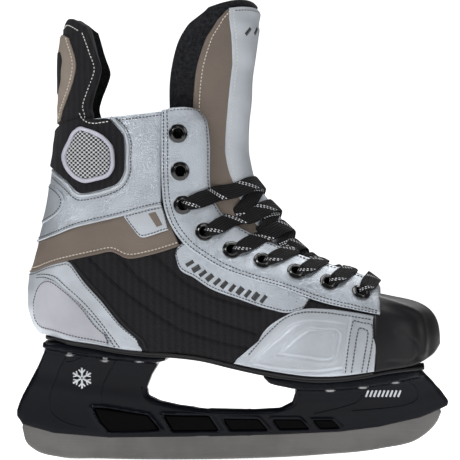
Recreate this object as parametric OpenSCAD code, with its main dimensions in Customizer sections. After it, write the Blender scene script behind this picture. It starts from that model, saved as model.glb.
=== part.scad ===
// Right-foot ice hockey skate: steel runner, moulded holder, sewn boot, tendon guard, tongue and lace.
// +X to the toe, +Z up, lateral side at -Y. The origin is on the floor under the middle of the holder.

/* [Chassis] */
// Half of the holder's length
holder_half = 149; // [145:1:152]
// Thickness of the steel runner
runner_t = 3; // [2.8:0.1:3.2]
// Width of the holder's walls beside the runner
holder_rail_w = 12; // [11:0.5:13]
// Depth of the pockets in the holder's sides
pocket_depth = 3.4; // [2:0.1:3.8]
// Width of the heel tower's flange
heel_flange_w = 58; // [54:1:62]
// Width of the toe tower's flange
toe_flange_w = 78; // [72:1:84]
// Radius of the rivets' shanks
rivet_r = 2; // [1.8:0.1:2.2]

/* [Boot] */
// Radius of the heel seen from above
heel_r = 33; // [31:0.5:35]
// How far the toe turns to the medial side
toe_bend = 5; // [0:0.5:6]
// Thickness of the sewn outer panels
panel_t = 1.5; // [1.2:0.1:1.7]
// Thickness of the foam and lining
lining_t = 4; // [3:0.5:4.5]
// Thickness of the eyestays
facing_t = 2.4; // [2:0.2:2.6]
// Outer radius of an eyelet's flange
eyelet_r = 6; // [5.5:0.1:6.4]
// Radius of an eyelet's hole
eyelet_hole_r = 3.5; // [3.2:0.1:3.7]

/* [Lace and tongue] */
// Width of the flat lace
lace_w = 11; // [9:0.5:12]
// Thickness of the flat lace
lace_t = 1.2; // [1:0.1:1.4]
// Thickness of the tongue's felt
felt_t = 6; // [4:0.5:6.5]

/* [Hidden] */
LATERAL = -1;
MEDIAL = 1;
gap = 0.3;
silver = [0.76, 0.79, 0.81];
taupe = [0.42, 0.38, 0.34];
black = [0.14, 0.13, 0.15];

// ---- side shape of the boot: [height, x] of its back edge, [x, half width] low and high, sole line ----
back_line = [[83, -130], [92, -137], [102, -140.5], [112, -141.5], [125, -140.5], [138, -137], [150, -134],
    [175, -127.5], [200, -124], [224, -120.5], [248, -119.5], [286, -118.5], [300, -116]];
forefoot_lean = 9;
low_half = [[-142, 33], [-100, 34], [-60, 36], [-20, 39], [20, 45], [60, 50], [100, 47], [120, 44]];
high_half = [[-142, 34], [-100, 36], [-60, 38], [-20, 34], [20, 30]];
sole_line = [[-131, 86.5], [-116, 83.5], [-95, 80.5], [-76, 77], [-59, 75], [-37, 74], [-20, 72], [2, 67],
    [21, 63], [41, 60], [55, 58.5], [69, 58.5], [88, 60.5], [108, 64], [129, 66], [143, 67]];

function mix(a, b, t) = a + (b - a) * t;
function smooth(t) = let(u = min(max(t, 0), 1)) u * u * (3 - 2 * u);
function back_x(z) = lookup(z, back_line);
function sole_z(x) = lookup(x, sole_line);
function half_width(x, z) = mix(lookup(x, low_half), lookup(x, high_half), smooth((z - 100) / 130))
    - forefoot_lean * smooth(x / 70) * smooth((z - 62) / 55);
function bend(x) = x > 50 ? toe_bend * pow((x - 50) / 95, 2) : 0;

// The boot's side is unrolled from the middle of the heel: a runs round the heel, then forward.
quarter_turn = heel_r * PI / 2;
function unroll(p) = let(d = max(p[0] - back_x(p[1]), 0))
    [d < heel_r ? heel_r * acos(1 - d / heel_r) * PI / 180 : quarter_turn + d - heel_r, p[1]];
function skin(a, z, side, off) =
    let(turn = min(abs(a) / heel_r * 180 / PI, 90),
        x = back_x(z) + heel_r * (1 - cos(turn)) + max(abs(a) - quarter_turn, 0) - off * cos(turn),
        way = a < 0 ? -side : side)
    [x, bend(x) + way * (half_width(x, z) + off) * sin(turn), z];

// A panel is ruled between its lower and upper edge, both lists of [x, z].
function panel_grid(low, up, side, off, m) =
    [for (i = [0:len(low) - 1]) let(p = unroll(low[i]), q = unroll(up[i]), tall = max(norm(q - p), 1))
        [for (j = [0:m]) let(t = mix(gap / tall, 1 - gap / tall, j / m), s = mix(p, q, t),
                             a = i == 0 ? max(s[0], gap) : s[0]) skin(a, s[1], side, off)]];

// A closed wall between two grids of points, outer first.
module wall(outer, inner) {
    n = len(outer);
    m = len(outer[0]);
    function id(k, i, j) = k * n * m + i * m + j;
    front = [for (i = [0:n - 2]) for (j = [0:m - 2])
        each [[id(0, i, j), id(0, i, j + 1), id(0, i + 1, j)],
              [id(0, i + 1, j), id(0, i, j + 1), id(0, i + 1, j + 1)]]];
    back = [for (f = front) [f[0] + n * m, f[2] + n * m, f[1] + n * m]];
    rim = concat([for (i = [0:n - 2]) [i, 0, i + 1, 0]], [for (j = [0:m - 2]) [n - 1, j, n - 1, j + 1]],
        [for (i = [n - 1:-1:1]) [i, m - 1, i - 1, m - 1]], [for (j = [m - 1:-1:1]) [0, j, 0, j - 1]]);
    side = [for (r = rim) each [[id(0, r[0], r[1]), id(0, r[2], r[3]), id(1, r[2], r[3])],
                                [id(0, r[0], r[1]), id(1, r[2], r[3]), id(1, r[0], r[1])]]];
    polyhedron(concat([for (r = outer) each r], [for (r = inner) each r]), concat(front, back, side));
}
module panel(low, up, side, top, thick, m = 4) {
    outer = panel_grid(low, up, side, top, m);
    inner = panel_grid(low, up, side, top - thick, m);
    if (side == LATERAL) wall(outer, inner);
    else wall(inner, outer);
}
function at_back(z) = [back_x(z), z];

// ---- edges of the sewn panels, [x, z] ----
heel_low = [at_back(86), [-129, 86.5], [-122, 85], [-110, 82.5], [-96, 80.5], [-84, 78.5], [-76, 77],
    [-68, 76], [-61, 75.5]];
heel_up = [at_back(129), [-133, 130.5], [-124, 134], [-116, 136], [-109, 136], [-99, 122], [-86, 107.5],
    [-73, 92], [-62.5, 78.5]];
quarter_low = [[-108.5, 136.5], [-98, 122], [-85, 107.5], [-72, 92], [-60, 76], [-37, 74.5], [-20, 72.5],
    [2, 67.5], [21, 63.5], [41, 60.5], [55, 59], [70, 59], [82, 60.5], [92, 62]];
quarter_up = [[-106, 138.5], [-92, 141.5], [-81, 143.5], [-69, 139], [-54, 141.5], [-44, 144.5], [-34, 147.5],
    [-20, 139], [-6, 131.5], [14, 124.5], [34, 118.5], [61, 108.5], [79, 104.5], [92, 102]];
band_low = [at_back(129), [-133, 130.5], [-124, 134], [-106, 138.5], [-92, 141.5], [-81, 143.5], [-69, 139],
    [-54, 141.5], [-34, 147.5]];
band_up = [at_back(150), [-129, 151.5], [-119, 155], [-106, 160], [-92, 163.5], [-81, 166], [-69, 169],
    [-58, 172], [-46.5, 174.5]];
ankle_up = [at_back(222), [-115, 226.5], [-106, 230], [-97, 232.5], [-87, 234], [-76, 235], [-66, 236],
    [-56, 237], [-47.5, 238]];
pad_low = [at_back(200), [-121, 199.5], [-113, 193], [-103, 184], [-92, 183.5], [-81, 187], [-73.5, 194.5],
    [-71, 207]];
pad_up = [at_back(223), [-117, 226], [-110, 229], [-102, 232], [-93, 233.5], [-82, 233], [-75, 226],
    [-71, 217]];
patch_low = [[-133, 98], [-129, 93.5], [-118, 91], [-106, 88], [-94, 84.5], [-84, 81.5]];
patch_up = [[-134, 110], [-130, 120], [-123, 124], [-114, 118.5], [-101, 106], [-87, 89]];
label_low = [[-71, 166], [-60, 153.5], [-48, 156], [-42.5, 158]];
label_up = [[-70, 168.5], [-62, 170.5], [-54, 172.5], [-47.5, 173.5]];
strip_low = [[-35.5, 139], [-33, 132], [-24, 126], [-13, 118.5], [7.5, 111], [27.5, 104.5], [39.5, 102.5],
    [46.5, 105]];
strip_up = [[-34.5, 144], [-29.5, 145], [-19.5, 136.5], [-6, 129.5], [14, 122.5], [32, 116.5], [43, 113],
    [48, 109.5]];
toe_guard_low = [[6, 69], [21, 65.5], [41, 62.5], [55, 61], [70, 61], [82, 62], [92.5, 63.5]];
toe_guard_up = [[8, 73], [22, 86.5], [36, 98], [49, 101.5], [66, 102.5], [79, 101.5], [92.5, 99]];
guard_low = [at_back(230), [-117, 232], [-111, 234.5], [-105, 236.5], [-100, 238], [-96, 241]];
guard_up = [at_back(294), [-115, 299.5], [-109, 302.5], [-103, 301], [-98.5, 296.5], [-89, 272]];
badge_edge = [[-102, 227], [-94, 225], [-84, 219], [-79.5, 211], [-79.5, 200], [-83, 193.5], [-92, 191],
    [-100, 190.5], [-107, 198], [-112, 206], [-108, 218]];

// ---- eyestay: outer edge, front edge and the half width at the front edge ----
facing_outer = [[-46, 238], [-46.5, 229.5], [-46.5, 215], [-46.5, 199], [-46, 186], [-44.5, 173.5],
    [-40, 161], [-31, 148.5], [-19, 139.5], [-5, 131.5], [14, 125], [35, 119], [61, 109.5], [85, 104], [101, 101]];
facing_front = [[-24, 239], [-18, 231], [-16, 215], [-16, 199], [-15.5, 187], [-12, 175.5], [-5, 166],
    [5, 159], [18, 152], [31, 146.5], [48, 139.5], [66, 133.5], [84, 127.5], [97, 121], [101, 116]];
facing_gap = [26, 25, 25, 25, 24, 23, 22, 21, 20, 19, 18, 17, 15, 9, 1];
eyelet_at = [[1.5, 0.3], [3.1, 0.33], [4.95, 0.31], [6.7, 0.38], [8.25, 0.38], [9.5, 0.43], [10.7, 0.43],
    [11.7, 0.44], [12.8, 0.43]];
facing_turn = 62;
function along(list, s) = let(i = min(floor(s), len(list) - 2)) mix(list[i], list[i + 1], s - i);
function facing_point(s, t, side, off) =
    let(o = along(facing_outer, s), f = along(facing_front, s), g = along(facing_gap, s), turn = facing_turn * t,
        w = half_width(o[0], o[1]), share = sin(turn) / sin(facing_turn), way = (f - o) / norm(f - o),
        fall = (cos(turn) - cos(facing_turn)) / (1 - cos(facing_turn)), p = mix(o, f, share),
        x = p[0] + off * sin(turn) * way[0])
    [x, bend(x) + side * (mix(g, w, fall) + off * cos(turn)), p[1] + off * sin(turn) * way[1]];
function facing_normal(s, t, side) = let(d = 0.05,
    n = side * cross(facing_point(s + d, t, side, 0) - facing_point(s - d, t, side, 0),
        facing_point(s, t + d, side, 0) - facing_point(s, t - d, side, 0)),
    out = facing_point(s, t, side, 1) - facing_point(s, t, side, 0)) n * sign(n * out) / norm(n);
module at_eyelet(k, side) {
    s = eyelet_at[k][0];
    t = eyelet_at[k][1];
    n = facing_normal(s, t, side);
    translate(facing_point(s, t, side, 0)) rotate([0, acos(n[2]), atan2(n[1], n[0])]) children();
}

// ---- tongue: front line, side edge, half width; rows from the toe up ----
tongue_front = [[94, 113], [78, 123], [57, 134], [38.5, 154], [22, 176], [12.5, 199], [11, 216], [12.5, 242]];
tongue_edge = [[86, 106], [66, 110], [42, 116], [14, 126], [-14, 142], [-34, 168], [-42, 200], [-43, 236]];
tongue_half = [22, 25, 26, 26, 25, 25, 24, 25];
top_front = [[12.5, 243], [15, 268], [17.5, 290], [18.3, 303], [17.5, 311]];
top_edge = [[-43, 243], [-41, 262], [-37, 282], [-30, 296], [-22, 303]];
top_half = [26, 29, 32, 32, 31];
function tongue_grid(front, edge, half, from, to, off, m = 10) =
    [for (i = [0:len(front) - 1]) let(f = front[i], e = edge[i], back = (e - f) / norm(e - f))
        [for (j = [0:m]) let(u = mix(from, to, j / m), p = mix(f, e, 1 - cos(u)), n = -back * cos(u))
            [p[0] + off * n[0], bend(p[0]) + (half[i] + off) * sin(u), p[1] + off * n[1]]]];
module tongue_piece(front, edge, half, from, to, top, thick)
    wall(tongue_grid(front, edge, half, from, to, top), tongue_grid(front, edge, half, from, to, top - thick));

// ---- chassis ----
side_clear = 0.9;
joint_line = [[-145, 24], [-123, 18], [-85, 15], [-22, 16], [33, 17.5], [74, 19.5], [101, 23], [129, 29.5],
    [143, 35]];
module runner() color([0.55, 0.55, 0.54]) {
    rotate([90, 0, 0]) linear_extrude(runner_t, center = true)
        polygon(concat([for (p = joint_line) [p[0], p[1] - side_clear]],
            [[140, 26], [133, 18.5], [121, 12], [101, 7.5], [60, 3], [0, 1], [-92, 0], [-119, 1.5], [-136, 5.5],
             [-143, 11.5], [-145.5, 19]]));
    rotate([90, 0, 0]) linear_extrude(runner_t - 0.4, center = true) difference() {
        polygon([[-138, 21], [-123, 17], [-85, 14], [-22, 15], [33, 16.5], [74, 18.5], [101, 22], [129, 28.5],
            [135, 31], [126, 35], [104, 33], [104, 44], [92, 44], [92, 29], [0, 28], [-88, 28], [-88, 44],
            [-100, 44], [-100, 28], [-120, 28]]);
        for (x = [-94, 98]) {
            translate([x, 38]) circle(r = 4.1, $fn = 40);
            translate([x - 2.3, 38]) square([4.6, 8]);
        }
    }
}
rail = holder_rail_w / 2;
module tower_hole(x, top) {
    translate([x, 0, 38]) rotate([90, 0, 0]) cylinder(r = 4.1, h = 9, center = true, $fn = 40);
    translate([x, 0, 38]) cylinder(r = 2.3, h = 60, $fn = 32);
    translate([x, 0, top - 6]) cylinder(r = 6, h = 30, $fn = 40);
}
module side_profile(points) rotate([90, 0, 0]) linear_extrude(120, center = true) polygon(points);
module front_profile(points) rotate([90, 0, 90]) linear_extrude(320, center = true)
    polygon(concat(points, [for (i = [len(points) - 1:-1:0]) [-points[i][0], points[i][1]]]));
module pocket(points) for (way = [0, 1]) mirror([0, way, 0])
    translate([0, -rail + pocket_depth, 0]) rotate([90, 0, 0]) linear_extrude(30) polygon(points);
heel_side = [[-145, 24], [-holder_half, 31], [-holder_half, 33], [-147.5, 39], [-140, 52], [-133, 65], [-128, 77], [-127.5, 79.8], [-116, 78.5],
    [-95, 75.5], [-76, 72], [-59, 70.5], [-46, 70], [-46, 68], [-50, 67.5], [-55.5, 58.5], [-58.5, 49], [-58, 44],
    [-50, 40], [-36, 37], [-36, 15.8], [-85, 15], [-123, 18]];
toe_side = [[22, 58.5], [25, 53], [38, 50], [43.5, 50], [44, 46], [42, 39], [33, 35], [12, 34], [12, 16.5],
    [33, 17.5], [74, 19.5], [101, 23], [129, 29.5], [143, 35], [148, 37.5], [holder_half, 40], [143, 48], [130, 61],
    [129, 62.2], [108, 60], [88, 56.5], [69, 54.5], [55, 54.5], [41, 55.8]];
bridge_side = [[-40, 38], [-36, 37], [-15, 34.5], [12, 34], [20, 34.2], [20, 16.8], [-22, 16], [-40, 15.8]];
module plan_outline(margin, thick = 200) linear_extrude(thick) polygon(concat(
    [for (u = [90:-15:0]) let(p = skin(heel_r * u * PI / 180, 84, LATERAL, -margin)) [p[0], p[1]]],
    [for (x = [-90:15:90]) [x, bend(x) + half_width(x, 60) - margin]],
    [for (u = [80:-10:-80]) toe_plan(u, margin)],
    [for (x = [90:-15:-90]) [x, bend(x) - half_width(x, 60) + margin]]));
function toe_plan(u, margin) = let(x = 98 + (45 - margin) * pow(cos(u), 0.75))
    [x, bend(x) + sign(sin(u)) * (47 - margin) * pow(abs(sin(u)), 0.8)];
module holder() color([0.14, 0.14, 0.17]) difference() {
    union() {
        intersection() {
            side_profile(heel_side);
            front_profile([[rail, 10], [rail, 30], [7.5, 45], [12, 58], [19, 68], [heel_flange_w / 2, 72.5],
                [heel_flange_w / 2, 90]]);
            hull() for (x = [-120, -60]) translate([x, 0, 0]) cylinder(d = heel_flange_w, h = 100, $fn = 48);
            }
        intersection() {
            side_profile(heel_side);
            front_profile([[rail, 10], [rail, 30], [7.5, 45], [8, 60]]);
        }
        intersection() {
            side_profile(toe_side);
            front_profile([[rail, 10], [rail, 30], [9, 40], [16, 48], [toe_flange_w / 2, 52], [toe_flange_w / 2, 80]]);
            hull() {
                translate([75, 0, 0]) cylinder(d = toe_flange_w, h = 100, $fn = 48);
                translate([102, 0, 0]) cylinder(d = toe_flange_w - 24, h = 100, $fn = 48);
                translate([40, 0, 0]) cylinder(d = toe_flange_w - 14, h = 100, $fn = 48);
            }
        }
        intersection() {
            side_profile(toe_side);
            front_profile([[rail, 10], [rail, 30], [9, 40], [9, 50]]);
        }
        intersection() {
            side_profile(bridge_side);
            front_profile([[rail, 10], [rail, 30], [6.5, 45]]);
        }
    }
    pocket([[-96, 35], [-86, 34.5], [-57, 30.5], [-50, 22], [-84, 20.5], [-91, 26]]);
    pocket([[-47, 30.5], [-14, 29], [-9, 20], [-40, 20.5]]);
    pocket([[-6, 28], [20, 27.5], [25, 20.5], [-1, 20.5]]);
    pocket([[29, 27.5], [48, 27.5], [53, 21.5], [33, 21.5]]);
    pocket([[57, 27.5], [70, 27.5], [74, 22.5], [60, 22]]);
    translate([0, 0, 15]) cube([280, runner_t - 0.3, 29], center = true);
    for (x = [-94, 98]) translate([x, 0, 38]) cube([14, runner_t - 0.3, 17.2], center = true);
    translate([112, 0, 30]) cube([50, runner_t - 0.3, 12], center = true);
    tower_hole(-94, 76);
    tower_hole(98, 58);
    for (p = heel_rivet_at) rivet_seat(p, rivet_under(p));
    for (p = toe_rivet_at) rivet_seat(p, toe_rivet_under(p));
}
module blade_dowels() color("dimgray") for (x = [-94, 98]) translate([x, 0, 38]) difference() {
    rotate([90, 0, 0]) cylinder(r = 4, h = 8.4, center = true, $fn = 40);
    cylinder(r = 1.75, h = 20, center = true, $fn = 32);
}
module blade_bolts() color("silver") for (p = [[-94, 70], [98, 52]]) {
    translate([p[0], 0, 35]) cylinder(r = 1.7, h = p[1] - 35, $fn = 32);
    translate([p[0], 0, p[1]]) difference() {
        cylinder(r = 5.4, h = 3.6, $fn = 40);
        translate([0, 0, 1.6]) cylinder(r = 2.5, h = 4, $fn = 6);
    }
}
heel_rivet_at = [for (p = [[-111, 16], [-86.5, 17], [-63, 17]]) for (y = [-1, 1]) [p[0], y * p[1]]];
function rivet_under(p) = max(sole_z(p[0]) - 9.6, 69);
toe_rivet_at = [for (p = [[68, 30], [90, 26], [112, 17]]) for (y = [-1, 1]) [p[0], y * p[1]]];
function toe_rivet_under(p) = lookup(p[0], [[68, 50], [90, 52], [112, 55]]);
module rivet_hole(p) translate([p[0], p[1], 40]) cylinder(r = rivet_r + 0.15, h = 60, $fn = 32);
module rivet_seat(p, under) {
    rivet_hole(p);
    translate([p[0], p[1], under - 12]) cylinder(r = 4.8, h = 11.6, $fn = 40);
}
module rivet(p, under) {
    translate([p[0], p[1], under - 1.9]) cylinder(r1 = 3, r2 = 4.4, h = 1.4, $fn = 40);
    translate([p[0], p[1], under - 0.6]) cylinder(r = rivet_r, h = sole_z(p[0]) + 5.2 - under, $fn = 32);
    translate([p[0], p[1], sole_z(p[0]) + 3.5]) cylinder(r = 3.6, h = 1.1, $fn = 40);
}
module heel_rivets() color("dimgray") for (p = heel_rivet_at) rivet(p, rivet_under(p));
module toe_rivets() color("dimgray") for (p = toe_rivet_at) rivet(p, toe_rivet_under(p));

// ---- boot bottom ----
function sheet_grid(margin, lift, from, to) = [for (x = [from:8:to])
    let(d = max(x + 130 - margin, 0), heel = d < heel_r ? sqrt(max(1 - pow(1 - d / heel_r, 2), 0.02)) : 1,
        e = max(x - 97, 0) / (46 - margin), nose = sqrt(max(1 - pow(e, 2.4), 0.02)),
        w = (lookup(x, low_half) - margin) * heel * nose)
    [for (j = [-1:0.25:1]) [x, bend(x) + j * w, sole_z(x) + lift]]];
module sheet(margin, lift, thick, from = -129, to = 135)
    wall(sheet_grid(margin, lift, from, to), sheet_grid(margin, lift - thick, from, to));
module outsole() color(black) difference() {
    sheet(1, -0.8, 2.4, -129, 135);
    for (p = concat(heel_rivet_at, toe_rivet_at)) rivet_hole(p);
}
module insole_board() color("tan") difference() {
    sheet(11, 2.4, 2, -118, 126);
    for (p = concat(heel_rivet_at, toe_rivet_at)) rivet_hole(p);
}
module footbed() color("gray") sheet(12, 9, 3.6, -116, 124);

// ---- toe cap ----
function cap_point(u, v, off) = let(side = pow(max(cos(v), 0), 0.55), x = 97 + (46 + off) * pow(max(cos(u), 0), 0.8) * side)
    [x, bend(x) + sign(sin(u)) * (47 + off) * pow(abs(sin(u)), 0.85) * side,
     66 + (47.5 - (x - 97) * 0.14 + off) * pow(max(sin(v), 0), 0.9)];
function cap_grid(off) = [for (u = [-90:12:90]) [for (v = [0:11:88]) cap_point(u, v, off)]];
module toe_cap() color(black) wall(cap_grid(0), cap_grid(-3));

// ---- sewn upper ----
lining_foot = concat([at_back(87), [-129, 87.5], [-122, 86], [-110, 83.5], [-96, 81.5], [-76, 78]],
    [for (x = [-58:17:94]) [x, sole_z(x) + 0.8]]);
lining_head = concat([at_back(218), [-115, 222], [-106, 226], [-92, 231], [-78, 233], [-60, 235]],
    [[-46.5, 234], [-46, 200], [-42, 168], [-22, 142.5], [2, 129.5], [26, 122], [50, 113.5], [71, 107.5], [90, 102.5],
     [94, 101.5]]);
module lining(side) color([0.2, 0.2, 0.22])
    panel(lining_foot, lining_head, side, -4.4, lining_t, 8);
module heel_counter() color("dimgray") {
    low = [at_back(88), [-129, 88], [-122, 87], [-110, 84.5], [-96, 82], [-84, 80], [-70, 78]];
    up = [at_back(146), [-129, 148], [-119, 149], [-106, 146], [-92, 138], [-84, 118], [-71, 96]];
    n = len(low);
    outer = concat([for (i = [n - 1:-1:1]) panel_grid(low, up, LATERAL, -2.1, 5)[i]], panel_grid(low, up, MEDIAL, -2.1, 5));
    inner = concat([for (i = [n - 1:-1:1]) panel_grid(low, up, LATERAL, -3.6, 5)[i]], panel_grid(low, up, MEDIAL, -3.6, 5));
    wall(inner, outer);
}
module back_stay() color(silver) {
    grid = function(off) [for (u = [-12:3:12]) let(h = sqrt(150 - u * u))
        [for (j = [-1:0.25:1]) skin(u, 176 + j * h, MEDIAL, off)]];
    wall(grid(0.6), grid(1.6));
}
module quarter(side) color(black) panel(quarter_low, quarter_up, side, 0, panel_t, 5);
module heel_panel(side) color(silver) panel(heel_low, heel_up, side, 0, panel_t, 4);
module heel_patch(side) color([0.66, 0.67, 0.71]) panel(patch_low, patch_up, side, 1.4, 0.8, 3);
module swoosh_band(side) color(taupe) panel(band_low, band_up, side, 0, panel_t, 3);
module ankle_panel(side) color(silver) panel(band_up, ankle_up, side, 0, panel_t, 6);
module ankle_pad(side) color(black) panel(pad_low, pad_up, side, 1.8, 1.2, 4);
module label_patch(side) color(silver) panel(label_low, label_up, side, 1.4, 0.8, 2);
module side_strip(side) color(silver) panel(strip_low, strip_up, side, 1.4, 0.8, 2);
module toe_guard(side) color([0.72, 0.74, 0.76]) panel(toe_guard_low, toe_guard_up, side, 1.6, 1, 3);
module facing(side) color(silver) difference() {
    m = 6;
    outer = [for (i = [0:14]) [for (j = [0:m]) facing_point(i, j / m, side, facing_t + 0.4)]];
    inner = [for (i = [0:14]) [for (j = [0:m]) facing_point(i, j / m, side, 0.4)]];
    if (side == LATERAL) wall(inner, outer);
    else wall(outer, inner);
    for (k = [0:8]) at_eyelet(k, side) cylinder(r = eyelet_hole_r + 1, h = 14, center = true, $fn = 32);
}
module eyelets(side) color([0.2, 0.2, 0.22]) for (k = [0:8]) at_eyelet(k, side) difference() {
    union() {
        translate([0, 0, facing_t + 1]) cylinder(r = eyelet_r, h = 0.9, $fn = 40);
        translate([0, 0, -0.4]) cylinder(r = eyelet_hole_r + 0.6, h = facing_t + 1.5, $fn = 40);
    }
    cylinder(r = eyelet_hole_r, h = 20, center = true, $fn = 40);
}
function shrink(list, k) = let(c = [-95, 208]) [for (p = list) c + (p - c) * k];
module badge_ring(edge, side, top, thick, inner_k) {
    n = len(edge);
    ring = function(k, off) [for (i = [0:n]) let(p = unroll((shrink(edge, k))[i % n])) skin(p[0], p[1], side, off)];
    a = ring(1, top);
    b = ring(inner_k, top);
    c = ring(inner_k, top - thick);
    d = ring(1, top - thick);
    points = concat([for (i = [0:n - 1]) each [a[i], b[i], c[i], d[i]]]);
    faces = [for (i = [0:n - 1]) let(u = 4 * i, v = 4 * ((i + 1) % n)) for (k = [0:3]) let(l = (k + 1) % 4)
        each [[u + k, v + k, v + l], [u + k, v + l, u + l]]];
    polyhedron(points, side == LATERAL ? faces : [for (f = faces) [f[0], f[2], f[1]]]);
}
module badge_frame(side) color([0.8, 0.8, 0.84]) badge_ring(badge_edge, side, 4.4, 2, 0.78);
module badge_mesh(side) color([0.3, 0.3, 0.32]) {
    edge = shrink(badge_edge, 0.75);
    low = [edge[9], edge[8], edge[7], edge[6], edge[5], edge[4]];
    up = [edge[10], edge[0], mix(edge[0], edge[1], 0.6), edge[1], edge[2], edge[3]];
    panel(low, up, side, 4, 1.5, 3);
}

// ---- tendon guard: a body of its own, flexing about the back of the ankle ----
module guard_part(low, up, top, thick) {
    n = len(low);
    outer = concat([for (i = [n - 1:-1:1]) panel_grid(low, up, LATERAL, top, 6)[i]], panel_grid(low, up, MEDIAL, top, 6));
    inner = concat([for (i = [n - 1:-1:1]) panel_grid(low, up, LATERAL, top - thick, 6)[i]],
        panel_grid(low, up, MEDIAL, top - thick, 6));
    wall(inner, outer);
}
module guard_shell() color(black) guard_part(guard_low, guard_up, 0, 2.5);
module guard_lining() color([0.1, 0.1, 0.11]) guard_part(guard_low, guard_up, -3, 4);
module guard_insert() color([0.58, 0.54, 0.5])
    guard_part([at_back(236), [-118, 237], [-113, 240], [-109, 247]], [at_back(288), [-118, 288], [-113, 280], [-107, 263]],
        1.8, 0.9);

// ---- tongue ----
module tongue_felt() color([0.1, 0.1, 0.11])
    tongue_piece(tongue_front, tongue_edge, tongue_half, -88, 88, -1.4, felt_t);
module tongue_side_panels() color(taupe) {
    tongue_piece(tongue_front, tongue_edge, tongue_half, 45, 57, 0, 1);
    tongue_piece(tongue_front, tongue_edge, tongue_half, -57, -45, 0, 1);
}
module tongue_centre_panel() color(silver) tongue_piece(tongue_front, tongue_edge, tongue_half, -44, 44, 0, 1);
module tongue_top_felt() color([0.1, 0.1, 0.11]) tongue_piece(top_front, top_edge, top_half, -90, 90, -1.4, felt_t);
module tongue_top_side_panels() color(taupe) {
    tongue_piece(top_front, top_edge, top_half, 45, 71, 0, 1);
    tongue_piece(top_front, top_edge, top_half, -71, -45, 0, 1);
}
module tongue_top_centre_panel() color(silver) tongue_piece(top_front, top_edge, top_half, -44, 44, 0, 1);

// ---- lace: one flat band from each eyelet over the tongue to the next eyelet down on the other side ----
lowest = 8;
highest = 2;
crossing_row = [0, 0, 4.5, 3.75, 3.15, 2.6, 2.05, 1.25];
crossing_lift = [0, 0, 4, 6, 5, 5, 7.5, 9.5];
// Share of the full reach round the tongue, less where the eyestays lie closer together
crossing_reach = [0, 0, 1, 1, 0.9, 0.7, 0.5, 0.3];
facing_lift = 7;
function tongue_at(r, u, off) = let(i = min(floor(r), len(tongue_front) - 2), t = r - i,
    f = mix(tongue_front[i], tongue_front[i + 1], t), e = mix(tongue_edge[i], tongue_edge[i + 1], t),
    h = mix(tongue_half[i], tongue_half[i + 1], t), back = (e - f) / norm(e - f), p = mix(f, e, 1 - cos(u)),
    n = -back * cos(u))
    [p[0] + off * n[0], bend(p[0]) + (h + off) * sin(u), p[1] + off * n[1]];
// Each stop of a band is its middle and the way its face looks.
function on_facing(s, t, side, off) = let(n = facing_normal(s, t, side)) [facing_point(s, t, side, 0) + n * off, n];
function on_tongue(r, u, off) = [tongue_at(r, u, off), tongue_at(r, u, off + 1) - tongue_at(r, u, off)];
function lace_path(k, side) = let(
    s = eyelet_at[k][0], r = crossing_row[k], q = crossing_reach[k],
    lift = crossing_lift[k] + (side == LATERAL ? 0 : -1.8))
    [on_facing(s, eyelet_at[k][1], side, facing_lift - 0.4), on_facing(s + 0.05, 0.55, side, facing_lift),
     on_facing(s + 0.08, 0.7, side, facing_lift), on_facing(s + 0.1, 0.85, side, facing_lift),
     on_facing(s + 0.12, 1, side, facing_lift - 0.4),
     on_tongue(r + 0.2 * q, side * 36 * q, lift + 1.6), on_tongue(r + 0.1 * q, side * 18 * q, lift + 0.5),
     on_tongue(r, 0, lift), on_tongue(r - 0.08 * q, -side * 14 * q, lift), on_tongue(r - 0.15 * q, -side * 24 * q, lift)];
lowest_bar = let(s = eyelet_at[lowest][0])
    [on_facing(s, 0.5, LATERAL, facing_lift), on_facing(s, 0.65, LATERAL, facing_lift),
     on_facing(s, 0.82, LATERAL, facing_lift), [[98.5, bend(98), 124.5], [0.5, 0, 0.85]],
     on_facing(s, 0.82, MEDIAL, facing_lift), on_facing(s, 0.65, MEDIAL, facing_lift),
     on_facing(s, 0.5, MEDIAL, facing_lift)];
module band_slice(p, d, up) {
    s = cross(d, up) / norm(cross(d, up));
    u = cross(s, d);
    multmatrix([[d[0], s[0], u[0], p[0]], [d[1], s[1], u[1], p[1]], [d[2], s[2], u[2], p[2]]])
        cube([0.2, lace_w, lace_t], center = true);
}
module band(path) {
    n = len(path);
    way = [for (i = [0:n - 1]) let(t = path[min(i + 1, n - 1)][0] - path[max(i - 1, 0)][0]) t / norm(t)];
    for (i = [0:n - 2]) hull() {
        band_slice(path[i][0], way[i], path[i][1]);
        band_slice(path[i + 1][0], way[i + 1], path[i + 1][1]);
    }
}
module lace() color([0.08, 0.08, 0.09]) {
    for (k = [highest:lowest - 1]) for (side = [LATERAL, MEDIAL]) band(lace_path(k, side));
    band(lowest_bar);
}

runner();
holder();
blade_dowels();
blade_bolts();
heel_rivets();
toe_rivets();
outsole();
insole_board();
footbed();
toe_cap();
heel_counter();
back_stay();
lining(LATERAL);  // lining_lateral
lining(MEDIAL);  // lining_medial
quarter(LATERAL);  // quarter_lateral
quarter(MEDIAL);  // quarter_medial
heel_panel(LATERAL);  // heel_panel_lateral
heel_panel(MEDIAL);  // heel_panel_medial
heel_patch(LATERAL);  // heel_patch_lateral
heel_patch(MEDIAL);  // heel_patch_medial
swoosh_band(LATERAL);  // swoosh_band_lateral
swoosh_band(MEDIAL);  // swoosh_band_medial
ankle_panel(LATERAL);  // ankle_panel_lateral
ankle_panel(MEDIAL);  // ankle_panel_medial
ankle_pad(LATERAL);  // ankle_pad_lateral
ankle_pad(MEDIAL);  // ankle_pad_medial
badge_frame(LATERAL);  // badge_frame_lateral
badge_frame(MEDIAL);  // badge_frame_medial
badge_mesh(LATERAL);  // badge_mesh_lateral
badge_mesh(MEDIAL);  // badge_mesh_medial
label_patch(LATERAL);  // label_patch_lateral
label_patch(MEDIAL);  // label_patch_medial
side_strip(LATERAL);  // side_strip_lateral
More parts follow.
